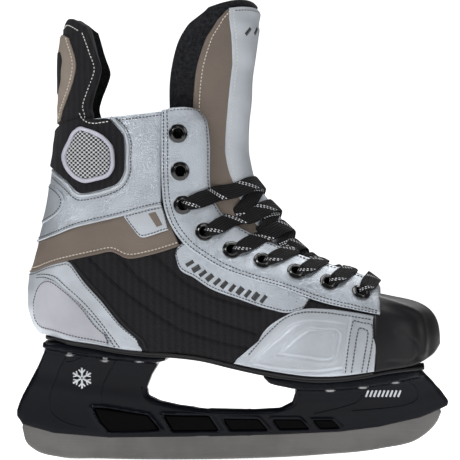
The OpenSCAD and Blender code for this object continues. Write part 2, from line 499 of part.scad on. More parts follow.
side_strip(MEDIAL);  // side_strip_medial
toe_guard(LATERAL);  // toe_guard_lateral
toe_guard(MEDIAL);  // toe_guard_medial
facing(LATERAL);  // facing_lateral
facing(MEDIAL);  // facing_medial
eyelets(LATERAL);  // eyelets_lateral
eyelets(MEDIAL);  // eyelets_medial
guard_shell();
guard_insert();
guard_lining();
tongue_felt();
tongue_side_panels();
tongue_centre_panel();
tongue_top_felt();
tongue_top_side_panels();
tongue_top_centre_panel();
lace();
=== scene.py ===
"""A right-foot hockey skate: sewn boot, tendon guard, tongue and flat lace on a holder and a steel runner.

Shapes are worked out in millimetres with the toe along +X, the lateral side at -Y and the floor at z = 0,
and every mesh is written in metres.
"""
import math

import bpy
import numpy as np
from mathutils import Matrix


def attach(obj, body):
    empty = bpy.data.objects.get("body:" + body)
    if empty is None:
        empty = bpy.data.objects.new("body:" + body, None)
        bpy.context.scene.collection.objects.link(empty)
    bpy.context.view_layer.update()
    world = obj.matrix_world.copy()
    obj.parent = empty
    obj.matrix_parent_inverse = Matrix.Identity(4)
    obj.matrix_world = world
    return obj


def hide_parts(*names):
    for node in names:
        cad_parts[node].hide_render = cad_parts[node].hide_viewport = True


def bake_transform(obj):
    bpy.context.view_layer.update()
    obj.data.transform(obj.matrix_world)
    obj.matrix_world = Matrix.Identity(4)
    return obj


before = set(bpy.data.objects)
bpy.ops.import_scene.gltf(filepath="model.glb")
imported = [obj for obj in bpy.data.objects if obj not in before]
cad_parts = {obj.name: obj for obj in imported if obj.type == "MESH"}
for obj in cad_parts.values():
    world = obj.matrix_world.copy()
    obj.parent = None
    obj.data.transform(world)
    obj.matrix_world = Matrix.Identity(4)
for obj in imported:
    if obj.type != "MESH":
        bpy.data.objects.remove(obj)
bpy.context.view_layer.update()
MM = 0.001
LATERAL, MEDIAL = -1, 1
SIDES = {"lateral": LATERAL, "medial": MEDIAL}

# ------------------------------------------------------------------ camera, floor and light
VIEW_DISTANCE = 2.2
VIEW_TURN = math.radians(3)
AIM = (-0.0017, 0.0, 0.158)
VIEW_WIDTH = 0.3174


def set_camera():
    """A long lens a little forward of square-on, whose picture is VIEW_WIDTH wide at the skate."""
    data = bpy.data.cameras.new("camera")
    data.lens = data.sensor_width * VIEW_DISTANCE / VIEW_WIDTH
    data.clip_end = 20
    camera = bpy.data.objects.new("camera", data)
    bpy.context.collection.objects.link(camera)
    away = VIEW_DISTANCE * math.sin(VIEW_TURN), VIEW_DISTANCE * math.cos(VIEW_TURN)
    camera.location = (AIM[0] + away[0], -away[1], AIM[2])
    camera.rotation_euler = (math.pi / 2, 0, VIEW_TURN)
    bpy.context.scene.camera = camera


def add_light(name, place, size, power):
    """A square area light at place, turned to the middle of the skate."""
    data = bpy.data.lights.new(name, "AREA")
    data.size = size
    data.energy = power
    light = bpy.data.objects.new(name, data)
    bpy.context.collection.objects.link(light)
    light.location = place
    x, y, z = (AIM[k] - place[k] for k in range(3))
    light.rotation_euler = (math.atan2(math.hypot(x, y), -z), 0, math.atan2(x, -y) + math.pi)
    return light


# ------------------------------------------------------------------ shader maths
class Wire:
    """A socket whose operators add Math nodes, so that a formula in a material reads as one."""

    def __init__(self, finish, socket):
        self.finish, self.socket = finish, socket

    def math(self, operation, *others, swap=False):
        values = [self, *others]
        if swap:
            values = values[::-1]
        return self.finish.node("ShaderNodeMath", {"operation": operation}, dict(enumerate(values)))

    def __add__(self, other):
        return self.math("ADD", other)

    def __sub__(self, other):
        return self.math("SUBTRACT", other)

    def __rsub__(self, other):
        return self.math("SUBTRACT", other, swap=True)

    def __mul__(self, other):
        return self.math("MULTIPLY", other)

    def __truediv__(self, other):
        return self.math("DIVIDE", other)

    __radd__ = __add__
    __rmul__ = __mul__

    def sin(self):
        return self.math("SINE")

    def abs(self):
        return self.math("ABSOLUTE")

    def wrap(self):
        return self.math("FRACT")

    def below(self, other):
        return self.math("LESS_THAN", other)

    def ramp(self, low, high):
        """0 below low and 1 above high, with a smooth step between."""
        return self.finish.node("ShaderNodeMapRange", {"interpolation_type": "SMOOTHSTEP"},
                                {"Value": self, "From Min": low, "From Max": high})


class Finish:
    """A material with one Principled shader; constants are set on the shader's own sockets."""

    def __init__(self, name, **constants):
        self.material = bpy.data.materials.new(name)
        self.material.use_nodes = True
        self.nodes = self.material.node_tree.nodes
        self.links = self.material.node_tree.links
        self.shader = self.nodes["Principled BSDF"]
        for key, value in constants.items():
            self.set(self.shader.inputs[key.replace("_", " ")], value)

    def set(self, socket, value):
        if isinstance(value, Wire):
            self.links.new(value.socket, socket)
        elif isinstance(value, tuple) and len(value) == 3 and len(socket.default_value) == 4:
            socket.default_value = (*value, 1)
        else:
            socket.default_value = value

    def node(self, kind, settings=None, inputs=None, output=0):
        made = self.nodes.new(kind)
        for key, value in (settings or {}).items():
            setattr(made, key, value)
        for key, value in (inputs or {}).items():
            self.set(made.inputs[key], value)
        return Wire(self, made.outputs[output])

    def place(self):
        return self.node("ShaderNodeTexCoord", output=3)

    def axes(self, vector=None):
        split = self.nodes.new("ShaderNodeSeparateXYZ")
        self.set(split.inputs[0], vector or self.place())
        return [Wire(self, out) for out in split.outputs]

    def scaled(self, sizes, vector=None):
        return self.node("ShaderNodeMapping", {}, {"Vector": vector or self.place(), "Scale": sizes})

    def noise(self, scale, detail=3.0, rough=0.55, vector=None):
        return self.node("ShaderNodeTexNoise", {}, {"Vector": vector or self.place(), "Scale": scale,
                                                    "Detail": detail, "Roughness": rough})

    def cells(self, scale, feature="F1", vector=None):
        return self.node("ShaderNodeTexVoronoi", {"feature": feature},
                         {"Vector": vector or self.place(), "Scale": scale})

    def mix(self, share, first, second):
        made = self.nodes.new("ShaderNodeMix")
        made.data_type = "RGBA"
        self.set(made.inputs[0], share)
        self.set(made.inputs[6], first)
        self.set(made.inputs[7], second)
        return Wire(self, made.outputs[2])

    def colour(self, value):
        self.set(self.shader.inputs["Base Color"], value)

    def rough(self, value):
        self.set(self.shader.inputs["Roughness"], value)

    def bump(self, height, depth, strength=1.0):
        """Relief of depth metres where height goes from 0 to 1."""
        normal = self.node("ShaderNodeBump", {}, {"Height": height, "Distance": depth, "Strength": strength})
        self.set(self.shader.inputs["Normal"], normal)


def shade(colour, factor):
    return tuple(min(v * factor, 1.0) for v in colour)


def leather(name, colour, grain=900, depth=0.00022, rough=0.36, metallic=0.0, coat=0.0, mottle=0.10):
    """Coated synthetic leather: fine pebble grain, slow creases and a slight change of tone and gloss."""
    f = Finish(name, Metallic=metallic, Coat_Weight=coat, Coat_Roughness=0.3)
    slow, fine = f.noise(26, 3), f.noise(grain * 0.6, 2)
    pebble = f.cells(grain, "DISTANCE_TO_EDGE").ramp(0.0, 0.35)
    tone = f.mix(slow.ramp(0.3, 0.72), shade(colour, 1 - mottle), shade(colour, 1 + mottle))
    f.colour(f.mix(pebble * 0.25 + 0.75, shade(colour, 0.8), tone))
    f.rough(slow * 0.12 + fine * 0.10 + (rough - 0.10))
    f.bump(pebble * 0.6 + fine * 0.4 + f.noise(70, 3) * 1.6, depth)
    return f.material


def weave(name, colour, pitch=0.0016, depth=0.0005, rough=0.78, lift=2.4):
    """Plain ballistic weave: over and under ribs from two sine waves on x and z, with uneven yarns. Its colour
    is painted lighter on the raised yarns and darker in the hollows between them, a painted highlight and shade
    that follows the relief, over a slow random tone.
    """
    f = Finish(name, Sheen_Weight=0.02, Specular_IOR_Level=0.15)
    x, y, z = f.axes()
    wobble = f.noise(160, 2) * 0.0006
    across = ((x + wobble) * (math.tau / pitch)).sin()
    along = ((z + y * 0.6 + wobble) * (math.tau / pitch)).sin()
    check = (across * along) * 0.5 + 0.5
    rib = ((x + z * 0.02) * (math.tau / (pitch * 3.0))).sin() * 0.5 + 0.5
    slow = f.noise(30, 3)
    # painted highlight and shade: lift brightens the raised check and ribs and the dark end paints shade in the
    # hollows between yarns; slow is a random tone
    f.colour(f.mix(check * 0.55 + rib * 0.25 + slow * 0.2, shade(colour, 0.25), shade(colour, lift)))
    f.rough(check * 0.10 + (rough - 0.05))
    f.bump(check * 0.8 + rib * 0.25 + f.noise(900, 2) * 0.2, depth)
    return f.material


def felt(name, colour, rough=0.95):
    """Pressed felt: mottled fibres of two sizes and a soft sheen."""
    f = Finish(name, Sheen_Weight=0.06, Specular_IOR_Level=0.15)
    fibre = f.noise(1500, 4, 0.7)
    clump = f.noise(420, 4, 0.65)
    f.colour(f.mix((fibre * 0.5 + clump * 0.5).ramp(0.38, 0.66), shade(colour, 0.35), shade(colour, 2.3)))
    f.rough(fibre * 0.1 + (rough - 0.06))
    f.bump(fibre * 0.5 + clump, 0.0006)
    return f.material


def moulded(name, colour, rough=0.3, grain=0.00004, coat=0.0, shine=0.5):
    """Injection-moulded plastic: faint flow marks, fine texture and small changes of gloss."""
    f = Finish(name, Coat_Weight=coat, Coat_Roughness=0.12, Specular_IOR_Level=shine)
    flow, fine = f.noise(14, 4), f.noise(1400, 3)
    f.colour(f.mix(flow.ramp(0.3, 0.7), shade(colour, 0.8), shade(colour, 1.25)))
    f.rough(flow * 0.10 + fine * 0.08 + (rough - 0.08))
    f.bump(fine + f.noise(200, 2) * 0.5, grain)
    return f.material


def brushed(name, colour, rough=0.36, stretch=(18, 600, 900)):
    """Ground steel: long fine scratches along x and a few darker cloudy stains."""
    f = Finish(name, Metallic=1.0)
    lines = f.noise(1.0, 4, 0.7, f.scaled(tuple(float(v) for v in stretch)))
    cloud = f.noise(22, 4)
    f.colour(f.mix(lines * 0.5 + cloud.ramp(0.3, 0.7) * 0.5, shade(colour, 0.66), shade(colour, 1.22)))
    f.rough(lines * 0.2 + cloud * 0.12 + (rough - 0.14))
    f.bump(lines, 0.00003)
    return f.material


def thread(name, colour):
    """Bonded sewing thread: a twist seen as fine slanted lines."""
    f = Finish(name, Sheen_Weight=0.2)
    x, y, z = f.axes()
    twist = ((x + z * 0.7 + y * 0.4) * 9000).sin() * 0.5 + 0.5
    f.colour(f.mix(twist, shade(colour, 0.72), shade(colour, 1.1)))
    f.rough(twist * 0.1 + 0.6)
    return f.material


def lace_cloth(name, colour, tracer):
    """Flat lace: cords along it, fine ribs across, and two lines of white dashes that cross it aslant. The black
    is painted lighter on the cords and ribs and darker in the grooves between them, a painted highlight and
    shade that follows the relief.
    """
    f = Finish(name, Specular_IOR_Level=0.15)
    u, v, _ = f.axes(f.node("ShaderNodeUVMap", {"uv_map": "along"}))
    ribs = (u * (math.tau / 1.1)).sin() * 0.5 + 0.5
    cords = (v * (math.tau / 1.55)).sin() * 0.5 + 0.5
    step = (u / 25.0).wrap() * 25
    near = (v - (step - 7) * 0.8).abs().below(0.5) * (step / 1.9).wrap().below(0.5)
    far = (v - (step - 9.2) * 0.8).abs().below(0.5) * (step / 1.9 + 0.5).wrap().below(0.5)
    dots = (near + far).ramp(0.2, 0.8) * v.abs().below(4.9)
    # painted highlight and shade: the black is darkened in the grooves between cords and ribs and lightened on
    # their crowns
    base = f.mix(ribs * 0.2 + cords * 0.8, shade(colour, 0.15), shade(colour, 1.9))
    f.colour(f.mix(dots, base, tracer))
    f.rough(ribs * 0.1 + 0.72)
    f.bump(ribs * 0.3 + cords * 0.9 + dots * 0.6, 0.0005)
    return f.material


def mesh_cloth(name, dark, pale, pitch=1.4):
    """Basket-woven mesh: pale and dark yarns in turn, as a chequer of raised squares."""
    f = Finish(name)
    u, v, _ = f.axes(f.node("ShaderNodeUVMap", {"uv_map": "along"}))
    across = (u * (math.pi / pitch)).sin()
    along = (v * (math.pi / pitch)).sin()
    check = across * along
    raised = check.abs().ramp(0.05, 0.6)
    f.colour(f.mix(check.ramp(-0.06, 0.06), dark, pale))
    f.rough(raised * 0.1 + 0.55)
    f.bump(raised, 0.0004)
    return f.material


SILVER = leather("silver_synthetic_leather", (0.465, 0.505, 0.555), rough=0.30, metallic=0.5, coat=0.12)
SILVER_SMOOTH = leather("silver_smooth_leather", (0.485, 0.52, 0.565), grain=1300, depth=0.00012, rough=0.36,
                        metallic=0.4, coat=0.08)
GREY_MATTE = leather("grey_matte_leather", (0.40, 0.405, 0.45), grain=1500, depth=0.0001, rough=0.6)
TAUPE = leather("taupe_synthetic_leather", (0.152, 0.119, 0.096), grain=1000, rough=0.55)
TAUPE_PALE = leather("pale_taupe_leather", (0.225, 0.185, 0.152), grain=1000, rough=0.55)
WEAVE = weave("black_ballistic_weave", (0.0090, 0.0085, 0.0098))
WEAVE_FINE = weave("black_fine_weave", (0.0085, 0.0080, 0.0095), pitch=0.0014, depth=0.0003)
FELT = felt("charcoal_felt", (0.0100, 0.0105, 0.0125))
LINING = felt("black_brushed_lining", (0.010, 0.010, 0.011))
HOLDER_BLACK = moulded("holder_black_nylon", (0.0040, 0.0046, 0.0072), rough=0.2, shine=0.12)
# painted shade: a black much darker than the holder's plastic, for sheets set in the pockets to stand in for the
# shade in those recesses
POCKET_SHADE_BLACK = moulded("pocket_painted_shade_black", (0.0008, 0.0008, 0.0010), rough=0.3, shine=0.05)
SOLE_BLACK = moulded("sole_black_plastic", (0.0075, 0.0075, 0.0090), rough=0.42, shine=0.2)
CAP_BLACK = moulded("toe_cap_black_plastic", (0.0100, 0.0094, 0.0110), rough=0.4, shine=0.25, grain=0.00007)
BADGE_GREY = moulded("badge_lavender_grey", (0.36, 0.36, 0.42), rough=0.3)
EYELET_BLACK = moulded("eyelet_black_lacquer", (0.0035, 0.0035, 0.0040), rough=0.14, coat=0.25)
STEEL = brushed("ground_steel", (0.175, 0.17, 0.165))
RIVET_STEEL = brushed("rivet_steel", (0.30, 0.30, 0.31), 0.3, (300, 300, 300))
BOARD = felt("fibre_board", (0.20, 0.16, 0.11), 0.85)
PRINT_WHITE = leather("white_print", (0.72, 0.74, 0.78), grain=2000, depth=0.00003, rough=0.4)
PRINT_BLACK = leather("black_print", (0.016, 0.016, 0.018), grain=2000, depth=0.00003, rough=0.4)
THREAD_DARK = thread("dark_grey_thread", (0.035, 0.038, 0.045))
THREAD_WHITE = thread("white_thread", (0.66, 0.65, 0.62))
THREAD_CREAM = thread("cream_thread", (0.70, 0.63, 0.53))
LACE = lace_cloth("black_lace_white_tracer", (0.0080, 0.0078, 0.0085), (0.74, 0.75, 0.78))
MESH = mesh_cloth("black_white_basket_mesh", (0.004, 0.004, 0.005), (0.55, 0.56, 0.58))
SLOT_OF = {made.name: slot for slot, finishes in {
    "silver_pu": (SILVER, SILVER_SMOOTH), "grey_pu": (GREY_MATTE,), "taupe_pu": (TAUPE, TAUPE_PALE),
    "black_weave": (WEAVE,), "guard_black": (WEAVE_FINE,), "felt": (FELT,), "lining_black": (LINING,),
    "holder_black": (HOLDER_BLACK, POCKET_SHADE_BLACK), "outsole_black": (SOLE_BLACK,),
    "cap_black": (CAP_BLACK, PRINT_BLACK), "badge_grey": (BADGE_GREY, PRINT_WHITE),
    "badge_weave": (MESH, THREAD_WHITE, THREAD_CREAM),
    "eyelet_black": (EYELET_BLACK,), "steel": (STEEL,), "rivet_steel": (RIVET_STEEL,), "board": (BOARD,),
    "lace_black": (LACE, THREAD_DARK)}.items() for made in finishes}


# ------------------------------------------------------------------ curves and grids
def curve(table):
    """A smooth function through (x, y) pairs: cubic Hermite pieces with central slopes."""
    x, y = np.array(table, float).T
    slope = np.gradient(y, x)

    def at(q):
        q = np.clip(q, x[0], x[-1])
        i = np.clip(np.searchsorted(x, q, side="right") - 1, 0, len(x) - 2)
        h = x[i + 1] - x[i]
        t = (q - x[i]) / h
        ends = y[i] * (1 + 2 * t) * (1 - t) ** 2 + y[i + 1] * t * t * (3 - 2 * t)
        return ends + h * (slope[i] * t * (1 - t) ** 2 - slope[i + 1] * t * t * (1 - t))

    return at


def rows_curve(rows):
    """A smooth curve through matched rows of numbers, as a function of the row's number."""
    parts = [curve([(i, v) for i, v in enumerate(column)]) for column in np.array(rows, float).T]
    return lambda s: np.stack([part(s) for part in parts], -1)


def path(points, count):
    """count points evenly along a smooth curve through the given points, for two or three dimensions."""
    points = np.array(points, float)
    chord = run_of(points)
    dense = np.linspace(0, chord[-1], max(count * 4, 80))
    fine = np.stack([curve(np.stack([chord, column], 1))(dense) for column in points.T], -1)
    run = run_of(fine)
    even = np.linspace(0, run[-1], count)
    return np.stack([np.interp(even, run, column) for column in fine.T], -1)


def run_of(points):
    """The distance along a polyline at each of its points."""
    return np.r_[0, np.cumsum(np.linalg.norm(np.diff(points, axis=0), axis=1))]


def unit(vectors):
    """Vectors brought to length 1."""
    return vectors / np.linalg.norm(vectors, axis=-1, keepdims=True)


def distance_to(points, line):
    """Distance from each 2-D point to a polyline, as the least over its segments."""
    best = np.full(points.shape[:-1], 1e9)
    for a, b in zip(line[:-1], line[1:]):
        along = np.clip(((points - a) @ (b - a)) / max((b - a) @ (b - a), 1e-9), 0, 1)
        best = np.minimum(best, np.linalg.norm(points - a - along[..., None] * (b - a), axis=-1))
    return best


def smooth(t):
    t = np.clip(t, 0, 1)
    return t * t * (3 - 2 * t)


def grid_faces(n, m, around=False, start=0):
    """Quads between the points of an n by m grid, whose rows join up if around."""
    i = np.arange(n if around else n - 1)[:, None]
    j = np.arange(m - 1)[None, :]
    k = (i + 1) % n
    return start + np.stack([i * m + j, k * m + j, k * m + j + 1, i * m + j + 1], -1).reshape(-1, 4)


def outward(points, faces):
    """The faces, turned round if the closed mesh that they make has its inside out."""
    a, b, c, d = (points[faces[:, k]] for k in range(4))
    volume = np.einsum("ij,ij->i", a, np.cross(b, c) + np.cross(c, d)).sum()
    return faces if volume > 0 else faces[:, ::-1]


def wall(outer, inner):
    """A closed wall between two n by m grids of points."""
    n, m = outer.shape[:2]
    index = np.arange(n * m).reshape(n, m)
    loop = np.concatenate([index[:-1, 0], index[-1, :-1], index[:0:-1, -1], index[0, :0:-1]])
    after = np.roll(loop, -1)
    rim = np.stack([after, loop, loop + n * m, after + n * m], -1)
    points = np.concatenate([outer.reshape(-1, 3), inner.reshape(-1, 3)])
    faces = np.concatenate([grid_faces(n, m), grid_faces(n, m, start=n * m)[:, ::-1], rim])
    return points, outward(points, faces)


def tube(centre, across, up, profile):
    """A closed band: a profile of (across, up) pairs carried along a path, with directions at each point."""
    profile = np.array(profile, float)
    rings = centre[:, None] + across[:, None] * profile[None, :, 0:1] + up[:, None] * profile[None, :, 1:2]
    n, m = rings.shape[:2]
    points = rings.reshape(-1, 3)
    i = np.arange(n - 1)[:, None]
    j = np.arange(m)[None, :]
    k = (j + 1) % m
    body = np.stack([i * m + j, i * m + k, (i + 1) * m + k, (i + 1) * m + j], -1).reshape(-1, 4)
    half = np.arange(m // 2 - 1)
    cap = np.stack([half, half + 1, m - 2 - half, m - 1 - half], -1)
    faces = np.concatenate([body, cap[:, ::-1], cap + (n - 1) * m])
    return points, outward(points, faces)


def ring_shape(rings):
    """A closed ring from n loops of m points each, which join up both ways."""
    n, m = rings.shape[:2]
    i, j = np.arange(n)[:, None], np.arange(m)[None, :]
    k, l = (i + 1) % n, (j + 1) % m
    faces = np.stack([i * m + j, k * m + j, k * m + l, i * m + l], -1).reshape(-1, 4)
    points = rings.reshape(-1, 3)
    return points, outward(points, faces)


ROUND = np.linspace(0, math.tau, 10, endpoint=False)
ROUND = np.stack([np.cos(ROUND), np.sin(ROUND)], 1)


def bead(centre, up, profile):
    """A profile carried along a path of points whose upward directions are given."""
    return tube(centre, unit(np.cross(np.gradient(centre, axis=0), up)), up, profile)


def printed_bar(centre, up, half):
    """A thin flat bar, half wide on either side of its middle line, just proud of what it lies on."""
    return bead(centre, up, [(-half, -0.3), (-half, 0.12), (half, 0.12), (half, -0.3)])


def joined(parts):
    """Several (points, faces) meshes as one."""
    points, faces, start = [], [], 0
    for p, f in parts:
        points.append(p)
        faces.append(f + start)
        start += len(p)
    return np.concatenate(points), np.concatenate(faces)


def piece(name, shape, material, body="boot", stands_for=(), slot=None, uv=None):
    """A mesh object at the origin from points in millimetres, riding on a body unless body is None."""
    points, faces = shape
    mesh = bpy.data.meshes.new(name)
    mesh.vertices.add(len(points))
    mesh.vertices.foreach_set("co", (np.asarray(points, float) * MM).ravel())
    mesh.loops.add(faces.size)
    mesh.loops.foreach_set("vertex_index", np.ascontiguousarray(faces, np.int32).ravel())
    mesh.polygons.add(len(faces))
    mesh.polygons.foreach_set("loop_start", np.arange(0, faces.size, 4, dtype=np.int32))
    if uv is not None:
        layer = mesh.uv_layers.new(name="along")
        layer.data.foreach_set("uv", np.asarray(uv, float)[faces.ravel()].ravel())
    mesh.polygons.foreach_set("use_smooth", np.full(len(faces), True))
    mesh.update(calc_edges=True)
    mesh.validate()
    mesh.materials.append(material)
    made = bpy.data.objects.new(name, mesh)
    bpy.context.collection.objects.link(made)
    if body:
        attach(made, body)
    if stands_for:
        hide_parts(*stands_for)
    slot or SLOT_OF[material.name]
    return made


# ------------------------------------------------------------------ the boot's side, unrolled from the heel
HEEL_RADIUS = 33.0
QUARTER_TURN = HEEL_RADIUS * math.pi / 2
BEND_START, BEND_LENGTH, TOE_BEND = 50, 95, 5.0
FOREFOOT_LEAN = 9.0
NOSE_START, NOSE_LENGTH = 97, 46
back_x = curve([(83, -130), (92, -137), (102, -140.5), (112, -141.5), (125, -140.5), (138, -137),
                (150, -134), (175, -127.5), (200, -124), (224, -120.5), (248, -119.5), (286, -118.5),
                (300, -116)])
low_half = curve([(-142, 33), (-100, 34), (-60, 36), (-20, 39), (20, 45), (60, 50), (100, 47), (120, 44)])
high_half = curve([(-142, 34), (-100, 36), (-60, 38), (-20, 34), (20, 30)])
sole_z = curve([(-131, 86.5), (-116, 83.5), (-95, 80.5), (-76, 77), (-59, 75), (-37, 74), (-20, 72),
                (2, 67), (21, 63), (41, 60), (55, 58.5), (69, 58.5), (88, 60.5), (108, 64), (129, 66),
                (143, 67)])


def bend(x):
    """How far the foot's middle line has turned to the medial side at x."""
    return TOE_BEND * (np.maximum(x - BEND_START, 0) / BEND_LENGTH) ** 2


def half_width(x, z):
    """Half the boot's width: a low and a high outline mixed by height, leaning in over the forefoot."""
    share = smooth((z - 100) / 130)
    lean = FOREFOOT_LEAN * smooth(x / 70) * smooth((z - 62) / 55)
    return low_half(x) * (1 - share) + high_half(x) * share - lean


def unroll(points):
    """Side-view (x, z) points as (a, z), where a runs round the heel and then straight forward."""
    points = np.array(points, float)
    d = np.maximum(points[..., 0] - back_x(points[..., 1]), 0)
    a = np.where(d < HEEL_RADIUS, HEEL_RADIUS * np.arccos(1 - np.minimum(d, HEEL_RADIUS) / HEEL_RADIUS),
                 QUARTER_TURN + d - HEEL_RADIUS)
    return np.stack([a, points[..., 1]], -1)


def side_x(a, z):
    """The x of an unrolled point, as seen from the side, and how far round the heel it is."""
    turn = np.minimum(np.abs(a) / HEEL_RADIUS, math.pi / 2)
    return back_x(z) + HEEL_RADIUS * (1 - np.cos(turn)) + np.maximum(np.abs(a) - QUARTER_TURN, 0), turn


def skin(a, z, side, off=0.0):
    """The boot's surface at (a, z), off millimetres proud: an arc round the heel, then the half width."""
    x, turn = side_x(a, z)
    y = (half_width(x, z) + off) * np.sin(turn)
    return np.stack([x - off * np.cos(turn), bend(x) + np.where(a < 0, -side, side) * y, z], -1)


EDGE_STEPS = np.array([0, 0.12, 0.35, 0.7, 1.2, 2.0])


def spread(length, count):
    """Fractions from 0 to 1 along each length, closer together near both ends, so that edges are round."""
    length = np.asarray(length, float)[..., None]
    ends = np.minimum(EDGE_STEPS / length, 0.05 * np.arange(len(EDGE_STEPS)))
    middle = ends[..., -1:] + (1 - 2 * ends[..., -1:]) * np.linspace(0, 1, count)[1:-1]
    return np.concatenate([ends, middle, 1 - ends[..., ::-1]], -1)


def rounded(distance, radius):
    """How far a surface drops at a distance from its edge, as a quarter circle of that radius."""
    near = np.clip(1 - distance / radius, 0, 1)
    return radius * (1 - np.sqrt(1 - near * near))


def at_back(z):
    return (float(back_x(z)), z)


class Panel:
    """A sewn panel ruled between a lower and an upper edge, whose points match one by one."""

    def __init__(self, low, up, n=90, m=30):
        low, up = unroll(low), unroll(up)
        low_step, up_step = (np.linalg.norm(np.diff(line, axis=0), axis=1) for line in (low, up))
        run = np.r_[0, np.cumsum((low_step + up_step) / 2)]
        self.long = run[-1]
        s = spread(self.long, n) * self.long
        self.low = np.stack([curve(np.stack([run, c], 1))(s) for c in low.T], -1)
        self.up = np.stack([curve(np.stack([run, c], 1))(s) for c in up.T], -1)
        tall = np.maximum(np.linalg.norm(self.up - self.low, axis=1), 0.5)
        t = spread(tall, m)
        self.grid = self.low[:, None] + (self.up - self.low)[:, None] * t[..., None]
        z = self.grid[..., 1]
        x_low, x_up = side_x(*self.low.T)[0][:, None], side_x(*self.up.T)[0][:, None]
        straight = unroll(np.stack([x_low + (x_up - x_low) * t, z], -1))[..., 0]
        forward = smooth((self.grid[..., 0] - QUARTER_TURN) / 25)
        self.grid[..., 0] += (straight - self.grid[..., 0]) * forward
        across = np.minimum(t, 1 - t) * tall[:, None]
        ends = np.minimum(s, self.long - s)[:, None]
        self.edge = np.minimum(across, ends)

    def shape(self, side, top, thick, radius=0.9, relief=None):
        off = top - np.minimum(rounded(self.edge, radius), thick * 0.8)
        if relief is not None:
            off = off + relief(self.grid) * smooth(self.edge / 3)
        a, z = self.grid[..., 0], self.grid[..., 1]
        return wall(skin(a, z, side, off), skin(a, z, side, top - thick))

    def border(self, inset, which="all"):
        """The panel's outline moved in by inset, as lists of (a, z) points: low, up, or all round."""
        tall = np.linalg.norm(self.up - self.low, axis=1)
        across = (self.up - self.low) / np.maximum(tall, 1)[:, None]
        keep = tall > 2.2 * inset
        low, up = (self.low + across * inset)[keep], (self.up - across * inset)[keep]
        if which == "low":
            return low
        if which == "up":
            return up
        return np.concatenate([low, up[::-1], low[:1]])


# ------------------------------------------------------------------ stitches
STITCH = np.array([(0.5, 0.0), (0.25, 0.43), (-0.25, 0.43), (-0.5, 0.0), (-0.25, -0.43), (0.25, -0.43)])
stitches = {}


def sew(kind, line, spacing=2.5, length=1.75, thick=0.78, body="boot"):
    """Stitches along a line of (points, normals), kept by thread and body until all are made.

    Each is four rings of six points: along a chord of the line, small at its ends and lifted in its middle.
    """
    points, normals = line
    run = run_of(points)
    if run[-1] < spacing:
        return
    count = int(run[-1] / spacing)
    middle = (np.arange(count) + 0.5) * run[-1] / count
    at = lambda q, column: np.interp(q, run, column)
    first, last, centre, up = (np.stack([at(q, c) for c in table.T], -1) for q, table in
                               ((middle - length / 2, points), (middle + length / 2, points),
                                (middle, points), (middle, normals)))
    along = last - first
    long = np.linalg.norm(along, axis=1, keepdims=True)
    along /= np.maximum(long, 1e-6)
    up = up - along * (up * along).sum(1, keepdims=True)
    up /= np.linalg.norm(up, axis=1, keepdims=True)
    across = np.cross(along, up)
    rings = []
    for shift, size, lift in ((-0.5, 0.35, -0.25), (-0.32, 0.9, 0.05), (0.32, 0.9, 0.05), (0.5, 0.35, -0.25)):
        heart = centre + along * shift * long + up * lift * thick
        section = across[:, None] * STITCH[None, :, 0:1] + up[:, None] * STITCH[None, :, 1:2]
        rings.append(heart[:, None] + section * thick * size)
    stitches.setdefault((kind, body), []).append(np.stack(rings, 1))


def make_stitches():
    """One mesh for each thread and body: 24 points and 22 faces a stitch."""
    threads = {"dark": THREAD_DARK, "white": THREAD_WHITE, "cream": THREAD_CREAM}
    ring = grid_faces(6, 4, around=True)
    ring = np.stack([(ring // 4) + 6 * (ring % 4)], -1)[..., 0]
    caps = np.array([(5, 2, 1, 0), (5, 4, 3, 2), (18, 19, 20, 23), (20, 21, 22, 23)])
    single = np.concatenate([ring, caps])
    for (kind, body), lists in stitches.items():
        cells = np.concatenate(lists).reshape(-1, 24, 3)
        faces = (single[None] + 24 * np.arange(len(cells))[:, None, None]).reshape(-1, 4)
        points = cells.reshape(-1, 3)
        name = f"stitching_{kind}" if body == "boot" else f"stitching_{kind}_{body}"
        piece(name, (points, outward(points, faces)), threads[kind], body)


def skin_line(line, side, off):
    """A line of (a, z) points on the boot's surface with its normals."""
    line = np.asarray(line, float)
    points = skin(line[:, 0], line[:, 1], side, off)
    return points, skin(line[:, 0], line[:, 1], side, off + 1) - points


def sew_skin(kind, points, side, off, count=160, **how):
    """Stitches on the boot's surface along a smooth side-view line of (x, z) points."""
    sew(kind, skin_line(unroll(path(points, count)), side, off), **how)


# ------------------------------------------------------------------ sewn panels of the upper
HEEL_LOW = [at_back(86), (-129, 86.5), (-122, 85), (-110, 82.5), (-96, 80.5), (-84, 78.5), (-76, 77),
            (-68, 76), (-60, 75.3)]
HEEL_UP = [at_back(129), (-133, 130.5), (-124, 134), (-116, 136), (-110, 136.3), (-99, 122), (-86, 107.5),
           (-73, 92), (-59.5, 76.5)]
QUARTER_LOW = [(-110, 136), (-99, 121.8), (-86, 107.3), (-73, 91.8), (-59, 75.5), (-37, 74.3), (-20, 72.3),
               (2, 67.3), (21, 63.3), (41, 60.3), (55, 58.8), (70, 58.8), (84, 60), (97, 62)]
QUARTER_UP = [(-108, 139), (-92, 142), (-81, 144), (-69, 139.5), (-54, 142), (-44, 145), (-34, 148),
              (-20, 140), (-6, 132.5), (14, 125.5), (34, 119.5), (61, 109.5), (80, 105.5), (97, 102)]
BAND_LOW = [at_back(129), (-133, 130.5), (-124, 134), (-106, 138.5), (-92, 141.5), (-81, 143.5), (-69, 139),
            (-54, 141.5), (-34, 147.5)]
BAND_UP = [at_back(150), (-129, 151.5), (-119, 155), (-106, 160), (-92, 163.5), (-81, 166), (-69, 169),
           (-58, 172), (-46.5, 174.5)]
ANKLE_UP = [at_back(224), (-115, 228), (-106, 231), (-97, 233), (-87, 234.3), (-76, 235.3), (-66, 236.4),
            (-56, 237.5), (-46, 238.8)]
